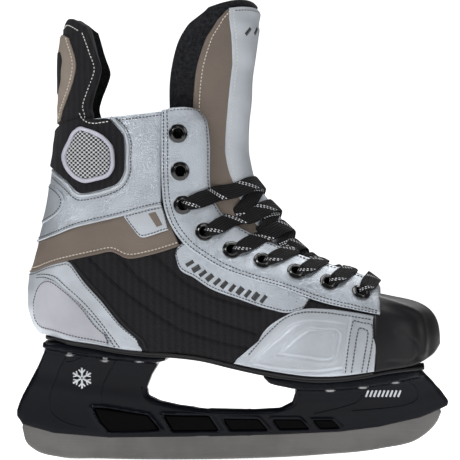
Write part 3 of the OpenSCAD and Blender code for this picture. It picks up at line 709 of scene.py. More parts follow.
PAD_LOW = [at_back(202), (-120.5, 199.5), (-111, 191.5), (-102, 183.2), (-92, 184.3), (-83, 186.8),
           (-76, 190), (-72, 196.5), (-71.3, 206)]
PAD_UP = [at_back(226), (-117, 229.5), (-110, 232), (-102, 234), (-91, 233.5), (-82, 233.3), (-76, 227),
          (-72.5, 222.5), (-71.3, 216)]
PATCH_LOW = [(-134, 97), (-130, 91), (-119, 88), (-107, 84.5), (-95, 82), (-83, 79.5)]
PATCH_UP = [(-134.5, 110), (-130.5, 120.5), (-123.5, 124.5), (-114.5, 119), (-101, 106), (-86, 88)]
LABEL_LOW = [(-72, 167), (-66, 159), (-60, 153), (-53, 154.3), (-48, 156), (-41.5, 158)]
LABEL_UP = [(-71, 168.7), (-66, 170), (-60.5, 171.4), (-55, 172.8), (-51, 173.7), (-46, 174.5)]
STRIP_LOW = [(-37, 141), (-34.5, 132.5), (-24, 125.5), (-13, 118.3), (7.5, 110.8), (27.5, 104.3), (40, 102),
             (50, 105)]
STRIP_UP = [(-35.5, 146), (-30, 150), (-18.5, 141.5), (-5, 134), (15, 127.5), (33.5, 121.5), (46, 117.5),
            (55, 112.5)]
MARK_LOW = [(-55.3, 169), (-52.4, 164.5), (-49.5, 160)]
MARK_UP = [(-50.4, 170.4), (-48, 166), (-45.6, 161.5)]
GUARD_LOW = [(3, 67.5), (21, 64), (41, 60.8), (55, 59.3), (70, 59.3), (84, 60.5), (98, 62.5)]
GUARD_UP = [(5, 70.5), (22, 87), (36, 99), (49, 104.5), (66, 104.7), (84, 102.5), (101, 99.5)]
PLEATS = [unroll(path(points, 60)) for points in (
    [(-96, 139), (-84.5, 127.5), (-70, 115), (-53, 102.5), (-32.5, 90), (-7, 82), (11.5, 78)],
    [(-74, 139), (-64, 127.5), (-49, 116), (-30.5, 104.5), (-7, 95.5), (18, 87.5)],
    [(-51, 141), (-42.5, 133), (-28.5, 121.5), (-7, 111.5), (21, 104)])]
GUARD_GROOVES = [unroll(path(points, 40)) for points in (
    [(15.5, 68.5), (25, 77.5), (35.5, 87), (43.5, 93.5), (49, 95.5), (59, 96), (78, 94)],
    [(33.5, 74), (48.5, 88), (53.5, 91), (62.5, 90.5), (74, 89), (73.5, 80.5), (72, 73), (48.5, 72), (33.5, 74)],
    [(81, 99), (79.5, 85), (77.5, 62)],
    [(17, 66.5), (30, 64.2), (45, 62.6), (60, 62.4), (77, 64.5)])]


def pleat_relief(grid):
    """Three sewn pleats: a narrow groove along each line, and padding that swells between them."""
    near = np.stack([distance_to(grid, line) for line in PLEATS])
    closest = near.min(0)
    groove = -1.5 * np.exp(-(closest / 1.1) ** 2)
    swell = 0.85 * smooth(closest / 9)
    ripple = 0.12 * np.sin(grid[..., 0] * 0.9 + grid[..., 1] * 0.35) * np.sin(grid[..., 1] * 0.55)
    return groove + swell + ripple


def guard_relief(grid):
    """Embossed lines on the toe-side guard, each a shallow groove with a raised lip on either side."""
    near = np.stack([distance_to(grid, line) for line in GUARD_GROOVES]).min(0)
    return -0.34 * np.exp(-(near / 0.75) ** 2) + 0.2 * np.exp(-((near - 1.7) / 0.9) ** 2)


def ankle_relief(grid):
    """Soft creases in the silver leather and a slight swell over the ankle bone."""
    a, z = grid[..., 0], grid[..., 1]
    bone = 0.7 * np.exp(-((a - 62) / 24) ** 2 - ((z - 200) / 26) ** 2)
    crease = 0.22 * np.sin(a * 0.21 + z * 0.13) + 0.14 * np.sin(a * 0.33 - z * 0.27 + 1.3)
    return bone + crease


def soft_relief(grid):
    return 0.16 * np.sin(grid[..., 0] * 0.3 + grid[..., 1] * 0.2) + 0.1 * np.sin(grid[..., 1] * 0.5)


PANELS = [
    ("quarter", Panel(QUARTER_LOW, QUARTER_UP, 210, 110), WEAVE, 0.0, 1.5, 0.8, pleat_relief),
    ("heel_panel", Panel(HEEL_LOW, HEEL_UP, 90, 40), SILVER_SMOOTH, 0.25, 1.5, 0.8, soft_relief),
    ("swoosh_band", Panel(BAND_LOW, BAND_UP, 110, 24), TAUPE, 0.1, 1.4, 0.6, soft_relief),
    ("ankle_panel", Panel(BAND_UP, ANKLE_UP, 110, 70), SILVER, 0.55, 1.7, 1.0, ankle_relief),
    ("ankle_pad", Panel(PAD_LOW, PAD_UP, 70, 40), WEAVE_FINE, 2.6, 2.2, 1.3, soft_relief),
    ("heel_patch", Panel(PATCH_LOW, PATCH_UP, 60, 30), GREY_MATTE, 1.1, 1.0, 0.8, None),
    ("label_patch", Panel(LABEL_LOW, LABEL_UP, 36, 18), SILVER_SMOOTH, 1.3, 1.1, 0.7, None),
    ("label_mark", Panel(MARK_LOW, MARK_UP, 16, 8), TAUPE, 1.65, 0.5, 0.3, None),
    ("side_strip", Panel(STRIP_LOW, STRIP_UP, 90, 16), SILVER, 1.7, 1.6, 1.0, None),
    ("toe_guard", Panel(GUARD_LOW, GUARD_UP, 130, 60), SILVER_SMOOTH, 1.5, 1.5, 1.0, guard_relief),
]


def make_panels():
    for word, side in SIDES.items():
        for name, panel, material, top, thick, radius, relief in PANELS:
            piece(f"sewn_{name}_{word}", panel.shape(side, top, thick, radius, relief), material,
                  stands_for=[] if name == "label_mark" else [f"{name}_{word}"])


def piping(points, side, off, radius, count=120):
    """A round cord sewn along a side-view line, as points and faces."""
    line = path(unroll(points), count)
    return bead(*skin_line(line, side, off), ROUND * radius)


PAD_CORNER = [(-101.5, 238), (-100, 234.5), (-96.5, 231.4), (-92, 230.5), (-87, 231), (-82, 231.8)]
PAD_SEAM = [(-122, 194), (-113, 186.5), (-104, 178.7), (-92, 179.6), (-80.5, 182.8), (-71.5, 188.5),
            (-67.8, 196), (-67.2, 207), (-67.3, 219), (-70, 226.5), (-77.5, 234.5)]
HEEL_AND_TOE_SEAMS = [
    ([(-133.5, 125.2), (-127.4, 125.6), (-121.9, 124), (-117, 120.3), (-106, 111), (-96.6, 101.8),
      (-87.4, 91.4), (-78.1, 77.8)], 0.5),
    ([(-133, 127.1), (-126.2, 127.7), (-120.6, 126.5), (-111.4, 119), (-100.4, 109.2), (-90.5, 98.1),
      (-75, 77.8)], 0.5),
    ([(84, 97), (82.5, 91), (80.5, 78), (78.5, 61.5)], 1.9),
    ([(84, 97), (90, 95.5), (96.6, 93.6), (97.2, 90), (96, 78), (93, 61.5)], 1.9),
    ([(87.6, 92), (86, 84), (84.5, 74), (82.6, 61.5)], 1.9),
    ([(87.6, 92), (91, 91.3), (93.6, 89.8), (93.6, 86), (92, 76), (89.6, 61.5)], 1.9),
    ([(13, 73.5), (27, 89), (39, 99), (49, 102.2), (62, 102.4), (78, 100.5), (96, 97.5)], 1.8)]


def trim_panels():
    """Stitch rows of the panels, and the doubled rows on the heel panel and the toe guard."""
    by_name = {name: (panel, top, relief) for name, panel, _, top, _, _, relief in PANELS}
    for side in SIDES.values():
        def row(kind, name, inset, which="all", lift=0.0, **how):
            panel, top, relief = by_name[name]
            line = panel.border(inset, which)
            proud = relief(line) * smooth(inset / 3) if relief else 0.0
            sew(kind, skin_line(line, side, top + lift + proud + 0.08), **how)
        row("dark", "ankle_panel", 2.4, "low", spacing=2.3)
        row("dark", "ankle_panel", 2.6, "up", spacing=2.3)
        row("cream", "swoosh_band", 2.6, "low", spacing=2.4)
        row("dark", "heel_patch", 1.6, "all", spacing=2.2)
        row("dark", "label_patch", 1.5, "all", spacing=2.2)
        row("dark", "side_strip", 1.6, "all", spacing=2.2)
        sew_skin("white", PAD_CORNER, side, 2.75, 60, spacing=2.3)
        sew_skin("dark", PAD_SEAM, side, 1.3, 240, spacing=2.3)
        row("dark", "heel_panel", 2.0, "up", spacing=2.2)
        for points, off in HEEL_AND_TOE_SEAMS:
            sew_skin("dark", points, side, off, spacing=2.3)


def make_piping():
    """Black piping in front of the heel panel, and the folded edges of the ankle, the band and the pad."""
    for word, side in SIDES.items():
        seam = [(-108.3, 136.8), (-98, 125), (-84, 109), (-70, 92.5), (-56.5, 76.5)]
        piece(f"heel_piping_{word}", piping(seam, side, 0.5, 1.1), SOLE_BLACK)
        fold = [(p[0], p[1] + 0.2) for p in BAND_UP[1:]]
        piece(f"ankle_folded_edge_{word}", piping([(BAND_UP[0][0] + 0.05, 150.2), *fold], side, 1.0, 0.75),
              SILVER_SMOOTH)
        band = [(p[0], p[1] + 0.3) for p in BAND_LOW[1:]]
        piece(f"swoosh_edge_{word}", piping([(BAND_LOW[0][0] + 0.05, 129.3), *band], side, 0.35, 0.75), TAUPE)
        rim = [(-122.3, 199), (-112, 190), (-102.3, 181.2), (-92, 182.4), (-82, 185), (-74.3, 188.9),
               (-70.2, 196.2), (-69.6, 206), (-69.6, 218), (-71.5, 224.5), (-75.5, 229.5), (-80.8, 235)]
        piece(f"pad_rim_{word}", piping(rim, side, 0.9, 1.15, 200), SILVER_SMOOTH)


# ------------------------------------------------------------------ eyestay
facing_rows = rows_curve([(-46, 239.5, -24, 240, 26), (-46.5, 230, -18, 232, 25),
                          (-46.5, 215, -16, 216, 25), (-46.5, 199, -16, 200, 25),
                          (-46, 186, -15.5, 187, 24), (-44.5, 173.5, -12, 175.5, 23),
                          (-40, 161, -5, 166, 22), (-31, 148.5, 5, 159, 21), (-19, 139.5, 18, 152, 20),
                          (-5, 131.5, 31, 146.5, 19), (14, 125, 48, 139.5, 18), (35, 119, 66, 133.5, 17),
                          (61, 109.5, 84, 127.5, 15), (85, 104, 97, 121.5, 9),
                          (102, 100.5, 102, 116.5, 0.6)])
FACING_TURN = math.radians(62)
FACING_THICK = 2.4
FACING_TOP = 0.4 + FACING_THICK
FACING_LENGTH, LAST_STATION = 232.0, 14
EYELETS = [(1.5, 0.3), (3.1, 0.33), (4.95, 0.31), (6.7, 0.38), (8.25, 0.38), (9.5, 0.43), (10.7, 0.43),
           (11.7, 0.44), (12.8, 0.43)]


def facing_point(s, t, side, off):
    """The eyestay at station s and share t across it: part of an ellipse from the side to over the tongue."""
    s, t = np.broadcast_arrays(np.asarray(s, float), np.asarray(t, float))
    row = facing_rows(s)
    outer, front, gap = row[..., 0:2], row[..., 2:4], row[..., 4]
    turn = FACING_TURN * t
    share = np.sin(turn) / math.sin(FACING_TURN)
    fall = (np.cos(turn) - math.cos(FACING_TURN)) / (1 - math.cos(FACING_TURN))
    way = (front - outer) / np.linalg.norm(front - outer, axis=-1, keepdims=True)
    place = outer + (front - outer) * share[..., None] + way * (off * np.sin(turn))[..., None]
    crown = 1.8 * np.sin(math.pi * np.clip(t, 0, 1)) * np.clip(1 - s, 0, 1) ** 2
    wide = half_width(outer[..., 0], outer[..., 1])
    y = gap + (wide - gap) * fall + off * np.cos(turn)
    return np.stack([place[..., 0], bend(place[..., 0]) + side * y, place[..., 1] + crown], -1)


def facing_frame(s, t, side, off):
    """Place, normal and the direction across at a point of the eyestay."""
    d = 0.02
    p = facing_point(s, t, side, off)
    along = facing_point(s + d, t, side, 0) - facing_point(s - d, t, side, 0)
    across = facing_point(s, t + d, side, 0) - facing_point(s, t - d, side, 0)
    normal = np.cross(along, across)
    out = facing_point(s, t, side, 1) - facing_point(s, t, side, 0)
    normal *= np.sign((normal * out).sum(-1, keepdims=True)) / np.linalg.norm(normal, axis=-1, keepdims=True)
    return p, normal


def make_facings():
    """The eyestays, with nine punched holes each."""
    stations = np.arange(LAST_STATION + 1)
    s = spread(FACING_LENGTH, 170) * LAST_STATION
    t = spread(36.0, 30)
    S, T = np.meshgrid(s, t, indexing="ij")
    for word, side in SIDES.items():
        width = np.interp(S, stations, [30, 33, 34, 34, 34, 36, 38, 39, 40, 40, 38, 36, 32, 22, 22])
        near, end = np.minimum(T, 1 - T), np.minimum(S, LAST_STATION - S)
        edge = np.minimum(near * width, end / LAST_STATION * FACING_LENGTH)
        swell = 0.5 * smooth(near * 5) + 0.12 * np.sin(S * 3.1 + T * 5) + 0.08 * np.sin(S * 7.3)
        off = FACING_TOP - np.minimum(rounded(edge, 1.2), 2.0) + swell * smooth(edge / 4)
        eyestay = piece(f"eyestay_{word}", wall(facing_point(S, T, side, off), facing_point(S, T, side, 0.3)),
                        SILVER, stands_for=[f"facing_{word}"])
        punch_holes(eyestay, side)


def revolve(profile, centre, normal, count=36):
    """A closed ring: (radius, height) pairs turned about a normal through a centre."""
    profile = np.array(profile, float)
    helper = np.array([0, 0, 1.0]) if abs(normal[2]) < 0.9 else np.array([1.0, 0, 0])
    first = np.cross(normal, helper)
    first /= np.linalg.norm(first)
    second = np.cross(normal, first)
    turn = np.linspace(0, math.tau, count, endpoint=False)
    around = np.cos(turn)[:, None] * first + np.sin(turn)[:, None] * second
    return ring_shape(centre + around[:, None] * profile[None, :, 0:1] + normal * profile[None, :, 1:2])


def punch_holes(eyestay, side):
    """Cut the eyelets' holes out of an eyestay with one set of short pegs."""
    pegs = []
    for s, t in EYELETS:
        p, normal = facing_frame(s, t, side, 0.0)
        turn = np.linspace(0, math.tau, 24, endpoint=False)
        helper = np.cross(normal, (0, 0, 1.0))
        helper /= np.linalg.norm(helper)
        other = np.cross(normal, helper)
        centre = np.array([p - normal * 6, p + normal * 8])
        pegs.append(tube(centre, np.array([helper] * 2), np.array([other] * 2),
                         np.stack([np.cos(turn), np.sin(turn)], 1) * 4.3))
    cutter = piece("hole_pegs", joined(pegs), SILVER, body=None)
    cut = eyestay.modifiers.new("holes", "BOOLEAN")
    cut.operation, cut.object, cut.solver = "DIFFERENCE", cutter, "EXACT"
    solid = bpy.data.meshes.new_from_object(eyestay.evaluated_get(bpy.context.evaluated_depsgraph_get()))
    eyestay.modifiers.clear()
    eyestay.data = solid
    bpy.data.objects.remove(cutter)


def make_eyelets():
    """Lacquered eyelets: a rolled flange on the leather and a barrel that goes through it."""
    barrel = [(3.5, -2.6), (3.45, 3.2), (3.6, 3.8), (3.95, 4.15), (4.3, 4.1), (4.6, 3.75), (5.0, 3.6),
              (5.8, 3.5), (6.3, 3.3), (6.5, 2.95), (6.25, 2.8), (4.4, 2.8), (4.15, 2.3), (4.15, -2.6)]
    for word, side in SIDES.items():
        rings = [revolve(barrel, *facing_frame(s, t, side, 0.35)) for s, t in EYELETS]
        piece(f"eyelet_rings_{word}", joined(rings), EYELET_BLACK, stands_for=[f"eyelets_{word}"])


def trim_facings():
    """Two stitch rows beside the eyestay's outer edge, one beside its front edge and one across its top."""
    s, cross = np.linspace(0.12, 13.9, 400), np.linspace(0.08, 0.9, 40)
    for side in SIDES.values():
        for t in (1.5 / 36, 4.0 / 36):
            lift = FACING_TOP + 0.15 + 0.5 * smooth(t * 5)
            sew("dark", facing_frame(s, np.full_like(s, t), side, lift), spacing=2.4)
        front = s[:-40]
        sew("dark", facing_frame(front, np.full_like(front, 0.9), side, FACING_TOP + 0.4), spacing=2.4)
        sew("dark", facing_frame(np.full_like(cross, 0.14), cross, side, FACING_TOP + 0.15), spacing=2.4)


# ------------------------------------------------------------------ tongue
tongue_rows = rows_curve([(94, 113, 86, 106, 22), (78, 123, 66, 110, 25), (57, 134, 42, 116, 26),
                          (38.5, 154, 14, 126, 26), (22, 176, -14, 142, 25), (12.5, 199, -34, 168, 25),
                          (11, 216, -42, 200, 24.5), (12.5, 242, -44, 238, 25.5),
                          (15, 268, -43.5, 262, 29.5), (17.5, 290, -38.5, 284, 33),
                          (18.5, 303, -31, 297, 34), (18.3, 312, -22, 307, 33)])
TONGUE_TOP, TONGUE_FOLD, TONGUE_SEEN = 11.0, 7.05, 5
ROW_LENGTH = 24.0
tongue_swell = curve([(0, 4.0), (1.25, 4.2), (2.05, 2.6), (2.6, 0.8), (3.15, 2.2), (3.75, 3.8), (4.5, 1.4),
                      (5, 0.8), (6, 0), (11, 0)])


def tongue_point(v, u, off):
    """The tongue at row v and turn u from its middle: part of an ellipse, from its front line to its edge."""
    v, u = np.broadcast_arrays(np.asarray(v, float), np.asarray(u, float))
    row = tongue_rows(v)
    front, edge, half = row[..., 0:2], row[..., 2:4], row[..., 4]
    back = (edge - front) / np.linalg.norm(edge - front, axis=-1, keepdims=True)
    rise = 5.2 * np.sin(2 * np.minimum(np.abs(u), math.pi / 2)) * smooth((v - 9.3) / 1.7)
    off = off + tongue_swell(v) * smooth(1 - np.abs(u) / 0.95)
    place = front + (edge - front) * (1 - np.cos(u))[..., None] - back * (off * np.cos(u))[..., None]
    x = place[..., 0]
    return np.stack([x, bend(x) + (half + off) * np.sin(u), place[..., 1] + rise], -1)


def tongue_line(v, u, off):
    """A line over the tongue with its normals."""
    points = tongue_point(v, u, off)
    return points, tongue_point(v, u, off + 1) - points


def tongue_sheet(v_range, u_low, u_high, top, thick, radius, n=120, m=44, relief=None):
    """Part of the tongue between two turns, which may change from row to row, with a rounded rim."""
    v0, v1 = v_range
    long = (v1 - v0) * ROW_LENGTH
    v = v0 + spread(long, n) * (v1 - v0)
    low, high = u_low(v), u_high(v)
    tall = np.maximum((high - low) * 36, 2.0)
    t = spread(tall, m)
    V = np.repeat(v[:, None], t.shape[1], 1)
    U = low[:, None] + (high - low)[:, None] * t
    edge = np.minimum(np.minimum(t, 1 - t) * tall[:, None], np.minimum(V - v0, v1 - V) * ROW_LENGTH)
    off = top - np.minimum(rounded(edge, radius), thick * 0.75)
    if relief is not None:
        off = off + relief(V, U) * smooth(edge / 6)
    inner = top - thick + (np.minimum(rounded(edge, radius), thick * 0.2) if thick > 3 else 0)
    return wall(tongue_point(V, U, off), tongue_point(V, U, inner))


def felt_relief(v, u):
    return 0.5 * np.sin(v * 5.1 + u * 3) * np.sin(u * 7 + v * 2) + 0.25 * np.sin(v * 11 + u * 5)


def cover_relief(v, u):
    return 0.30 * np.sin(v * 3.7 + 0.5) * np.cos(u * 2.1) + 0.15 * np.sin(v * 6.3 + u * 4)


def half_turn(share):
    """A tongue edge at a share of the way round its side, drawn in a little at the top."""
    return lambda v: np.full_like(v, share) * (1 - 0.10 * smooth((v - 10) / 1.0))


def silver_edge(v):
    """The silver panel's edge: wide at the crown, narrowest above the cuff, wider again at the top."""
    return np.interp(v, [0, 5, 6, 7.2, 8.2, 9.2, 10, 10.5], [0.80, 0.72, 0.78, 0.74, 0.72, 0.82, 0.92, 0.96])


def taupe_edge(v):
    """The taupe panels' outer edge, curving in to the silver panel at the top of the tongue."""
    return np.interp(v, [0, 7, 8.2, 9.2, 10, 10.44], [1.25, 1.24, 1.22, 1.17, 1.09, 0.98])


def make_tongue():
    """Felt body, two taupe side panels and a silver middle panel, each one sheet from toe to top."""
    felt = tongue_sheet((0, TONGUE_TOP), lambda v: -half_turn(1.53)(v), half_turn(1.53), -0.9, 6.4, 3.0,
                        130, 90, felt_relief)
    silver = tongue_sheet((0, TONGUE_TOP - 0.5), lambda v: -silver_edge(v), silver_edge, 0.6, 1.2, 0.7,
                          130, 44, cover_relief)
    taupe = [tongue_sheet((0, TONGUE_TOP - 0.56), inner, outer, 0.05, 0.9, 0.6, 130, 24, cover_relief)
             for inner, outer in ((lambda v: silver_edge(v) - 0.03, taupe_edge),
                                  (lambda v: -taupe_edge(v), lambda v: 0.03 - silver_edge(v)))]
    parts = [piece(name, shape, material, None, stands_for=[f"tongue_{node}", f"tongue_top_{node}"])
             for name, shape, material, node in (
                 ("tongue_felt_body", felt, FELT, "felt"),
                 ("tongue_silver_panel", silver, SILVER_SMOOTH, "centre_panel"),
                 ("tongue_taupe_panels", joined(taupe), TAUPE, "side_panels"))]
    v = np.linspace(TONGUE_SEEN, TONGUE_TOP - 0.62, 300)
    for sign in (-1, 1):
        for edge, kind, lift in ((silver_edge, "white", 0.65), (taupe_edge, "cream", 0.12)):
            turn = edge(v) - 0.075
            for low, high, body in ((TONGUE_SEEN, TONGUE_FOLD, "boot"),
                                    (TONGUE_FOLD, TONGUE_TOP, "tongue_top")):
                keep = (v >= low) & (v <= high)
                sew(kind, tongue_line(v[keep], sign * turn[keep], lift), body=body)
    u = np.linspace(-0.85, 0.85, 80)
    sew("dark", tongue_line(np.full_like(u, TONGUE_TOP - 0.68), u, 0.65), body="tongue_top")
    return parts


# ------------------------------------------------------------------ tendon guard
guard_front = curve([(228, -96), (236, -94.5), (241, -96), (250, -93.7), (260, -89.6), (267, -87.6),
                     (278, -91), (289, -95.2), (297, -98.8), (304, -102)])
insert_front = curve([(226, -119.5), (233, -117), (240, -115), (247, -112), (254, -109), (260, -107),
                      (267, -105.3), (273, -105.2), (279, -106.8), (285, -109), (290, -111), (294, -114)])


def guard_grid(front, bottom, top, n, m):
    """A wrap round the back of the ankle: height t between two curves in w, and w out to the front curve.

    Returns the (a, z) grid over both sides of the skate and each point's distance from the rim.
    """
    w = 2 * spread(90.0, n) - 1
    t = spread(64.0, m)
    W, T = np.meshgrid(w, t, indexing="ij")
    z = bottom(np.abs(W)) + (top(np.abs(W)) - bottom(np.abs(W))) * T
    reach = unroll(np.stack([front(z), z], -1))[..., 0]
    edge = np.minimum(np.minimum(T, 1 - T) * (top(np.abs(W)) - bottom(np.abs(W))), (1 - np.abs(W)) * reach)
    return W * reach, z, edge


def guard_sheet(front, bottom, top, high, thick, radius, n=110, m=70, relief=None):
    a, z, edge = guard_grid(front, bottom, top, n, m)
    off = high - np.minimum(rounded(edge, radius), thick * 0.8)
    if relief is not None:
        off = off + relief(a, z) * smooth(edge / 4)
    return wall(skin(a, z, MEDIAL, off), skin(a, z, MEDIAL, high - thick))


def make_guard():
    """Shell, taupe insert with its slot, and lining, each one sheet round the back of the ankle."""
    bottom = curve([(0, 224.5), (0.5, 228), (1, 233.5)])
    top = curve([(0, 298.5), (0.25, 301), (0.5, 303), (0.75, 301.5), (1, 297)])
    lining_top = curve([(0, 297.4), (0.25, 300), (0.5, 302), (0.75, 300.3), (1, 295.6)])
    insert_bottom = curve([(0, 231), (1, 233)])
    insert_top = curve([(0, 291), (0.7, 292), (1, 289.5)])
    puff = lambda a, z: 0.6 * np.exp(-((z - 262) / 22) ** 2) + 0.15 * np.sin(z * 0.6 + a * 0.2)
    ripple = lambda a, z: 0.15 * np.sin(z * 0.5)
    quilt = lambda a, z: 0.5 * np.sin(z * 0.25) * np.cos(a * 0.2)
    level = lambda height: lambda w: height + 0 * w
    slot_front = curve([(252, -118.3), (258, -116.8), (268, -115.6), (277, -115.3), (281, -116.5)])
    shell = guard_sheet(guard_front, bottom, top, 0.0, 2.6, 1.2, relief=puff)
    insert = guard_sheet(insert_front, insert_bottom, insert_top, 1.5, 1.2, 0.8, 70, 50, ripple)
    lining = guard_sheet(lambda z: guard_front(z) - 0.9, bottom, lining_top, -2.9, 5.5, 2.4, relief=quilt)
    slot = guard_sheet(slot_front, level(252), level(280.5), 2.0, 0.8, 0.5, 30, 30)
    parts = [piece(f"tendon_guard_{name}", shape, material, None, stands_for=nodes)
             for name, shape, material, nodes in (
                 ("shell", shell, WEAVE_FINE, ["guard_shell"]),
                 ("insert", insert, TAUPE_PALE, ["guard_insert"]),
                 ("lining", lining, FELT, ["guard_lining"]),
                 ("slot", slot, SOLE_BLACK, []))]
    z = np.linspace(231, 296.5, 200)
    for sign in (-1, 1):
        for front, inset, kind, lift in ((guard_front, 4.6, "white", 0.25),
                                         (insert_front, 2.2, "cream", 1.55)):
            use = z[(z < 290) & (z > 234)] if front is insert_front else z[z < 293]
            reach = unroll(np.stack([front(use), use], -1))[:, 0] - inset
            sew(kind, skin_line(np.stack([sign * reach, use], -1), MEDIAL, lift + 0.2), body="guard")
        arch = np.linspace(0.12, 0.92, 60)
        height = top(arch) - 4.5
        reach = unroll(np.stack([guard_front(height), height], -1))[:, 0] - 4.6
        sew("white", skin_line(np.stack([sign * arch * reach, height], -1), MEDIAL, 0.3), body="guard")
    return parts


# ------------------------------------------------------------------ badge
BADGE = [(-101, 228.3), (-97, 227.3), (-83, 219.5), (-79.3, 214.5), (-78.2, 208), (-78.7, 199.5),
         (-81.5, 195), (-91, 191.4), (-99.5, 190.2), (-103, 191.8), (-112, 204), (-112.6, 207.5),
         (-108.5, 219), (-104.5, 226)]
BADGE_HEART = np.array([-95.5, 208.5])


def badge_outline(count, inset):
    """The badge's rounded five-sided outline, moved in by inset, as side-view points."""
    points = np.array(BADGE, float)
    ring = np.concatenate([points[-3:], points, points[:3]])
    line = path(ring, 60 * len(ring))
    away, half = ((line - points[0]) ** 2).sum(1), len(line) // 2
    loop = line[np.argmin(away[:half]):np.argmin(away[half:]) + half + 1]
    run = run_of(loop)
    even = np.linspace(0, run[-1], count, endpoint=False)
    loop = np.stack([np.interp(even, run, column) for column in loop.T], -1)
    out = loop - BADGE_HEART
    return BADGE_HEART + out * (1 - inset / np.linalg.norm(out, axis=1, keepdims=True))


def on_side(points, side, off):
    """Side-view points laid on the boot's surface."""
    return skin(*np.moveaxis(unroll(points), -1, 0), side, off)


def make_badges():
    """A moulded frame and the domed basket-woven mesh inside it."""
    profile = [(-0.3, 1.6), (0.0, 3.6), (0.4, 4.8), (1.1, 5.3), (1.8, 5.3), (2.4, 4.8), (2.8, 3.8),
               (2.9, 1.6)]
    for word, side in SIDES.items():
        rings = np.stack([on_side(badge_outline(120, inset), side, off) for inset, off in profile], 1)
        piece(f"badge_rim_{word}", ring_shape(rings), BADGE_GREY, stands_for=[f"badge_frame_{word}"])
        border = badge_outline(96, 2.3)
        share = np.linspace(0, 1, 22)
        flat = BADGE_HEART + (border - BADGE_HEART)[:, None] * (1 - share[None, :, None] * 0.985)
        top = on_side(flat, side, 3.4 + 2.0 * np.sqrt(1 - (1 - share) ** 2.6))
        low = on_side(flat, side, 1.6)
        n, m = top.shape[:2]
        index = np.arange(n)
        after = (index + 1) % n
        sheet = grid_faces(n, m, around=True)
        rim = np.stack([after * m, index * m, index * m + n * m, after * m + n * m], -1)
        half = np.arange(n // 2 - 1)
        plug = np.stack([half, half + 1, n - 2 - half, n - 1 - half], -1) * m + m - 1
        points = np.concatenate([top.reshape(-1, 3), low.reshape(-1, 3)])
        faces = np.concatenate([sheet, sheet[:, ::-1] + n * m, rim, plug, plug[:, ::-1] + n * m])
        uv = np.concatenate([flat.reshape(-1, 2), flat.reshape(-1, 2)])
        piece(f"badge_cloth_{word}", (points, outward(points, faces)), MESH,
              stands_for=[f"badge_mesh_{word}"], uv=uv)


# ------------------------------------------------------------------ lace
LACE_PROFILE = [(-5.5, 0), (-5.25, 0.38), (-4.5, 0.56), (-2.2, 0.6), (0, 0.6), (2.2, 0.6), (4.5, 0.56),
                (5.25, 0.38), (5.5, 0), (5.25, -0.38), (4.5, -0.56), (2.2, -0.6), (0, -0.6), (-2.2, -0.6),
                (-4.5, -0.56), (-5.25, -0.38)]
CROSSINGS = {2: 4.5, 3: 3.75, 4: 3.15, 5: 2.6, 6: 2.05, 7: 1.25}
DRIFT = {2: 0.55, 3: 0.5, 4: 0.3, 5: 0.05, 6: 0.15, 7: 0.05}


def stay_stop(s, t, side, off, wide=1.0):
    """A lace band's stop over an eyestay: its middle, the way its face looks and its share of full width."""
    p, normal = facing_frame(s, t, side, off)
    return [*p, *normal, wide]


def tongue_stop(v, u, off, wide=1.0):
    """A lace band's stop over the tongue."""
    place, normal = tongue_line(v, u, off)
    return [*place, *(normal / np.linalg.norm(normal)), wide]


def lace_band(stops, count=90):
    """A flat lace band through its stops, with the distance along and across it as its UV."""
    line = path(stops, count)
    centre, up, wide = line[:, :3], line[:, 3:6], line[:, 6:7]
    along = unit(np.gradient(centre, axis=0))
    across = unit(np.cross(along, up))
    up = np.cross(across, along)
    run = run_of(centre)
    shape = tube(centre, across * wide, up, LACE_PROFILE)
    side = np.array(LACE_PROFILE)[:, 0]
    uv = np.stack(np.broadcast_arrays(run[:, None], side[None, :]), -1).reshape(-1, 2)
    return shape, uv


def make_lace():
    """Crossed bands, each from an eyelet to beneath the next one down opposite, and a bar at the toe."""
    bands = []
    for k, row in CROSSINGS.items():
        for side in (MEDIAL, LATERAL):
            s, t = EYELETS[k]
            rest = 1.35 if side == LATERAL else 0.0
            far, drift = EYELETS[k + 1][0], DRIFT[k]
            stops = [
                stay_stop(s, t, side, -2.0, 0.6),
                stay_stop(s - 0.05 * drift, t + 0.03, side, 2.2, 0.62),
                stay_stop(s - 0.15 * drift, t + 0.10, side, 5.3, 0.82),
                stay_stop(s - 0.4 * drift, t + 0.26, side, 4.7),
                stay_stop(s - 0.8 * drift, 0.86, side, 4.3),
                stay_stop(s - drift, 1.03, side, 3.7),
                tongue_stop(row + 0.24, side * 0.78, 2.3 + rest * 0.4),
                tongue_stop(row + 0.12, side * 0.4, 1.5 + rest),
                tongue_stop(row, 0, 1.5 + rest),
                tongue_stop(row - 0.12, -side * 0.4, 1.5 + rest),
                tongue_stop(row - 0.26, -side * 0.78, 1.4 + rest * 0.5),
                stay_stop(far - 0.3, 1.0, -side, -0.3),
                stay_stop(far - 0.2, 0.8, -side, -0.8, 0.8)]
            bands.append(lace_band(stops, 120))
    s, t = EYELETS[8]
    bar = []
    for side in (LATERAL, MEDIAL):
        half = [stay_stop(s, t, side, -2.0, 0.5), stay_stop(s, t + 0.03, side, 2.0, 0.52),
                stay_stop(s, t + 0.12, side, 4.9, 0.75), stay_stop(s, t + 0.3, side, 4.5, 1.0),
                stay_stop(s, 0.95, side, 4.3)]
        bar += half if side == LATERAL else half[::-1]
    bands.append(lace_band(bar, 110))
    shape = joined([band for band, _ in bands])
    piece("lace_bands", shape, LACE, stands_for=["lace"], uv=np.concatenate([uv for _, uv in bands]))


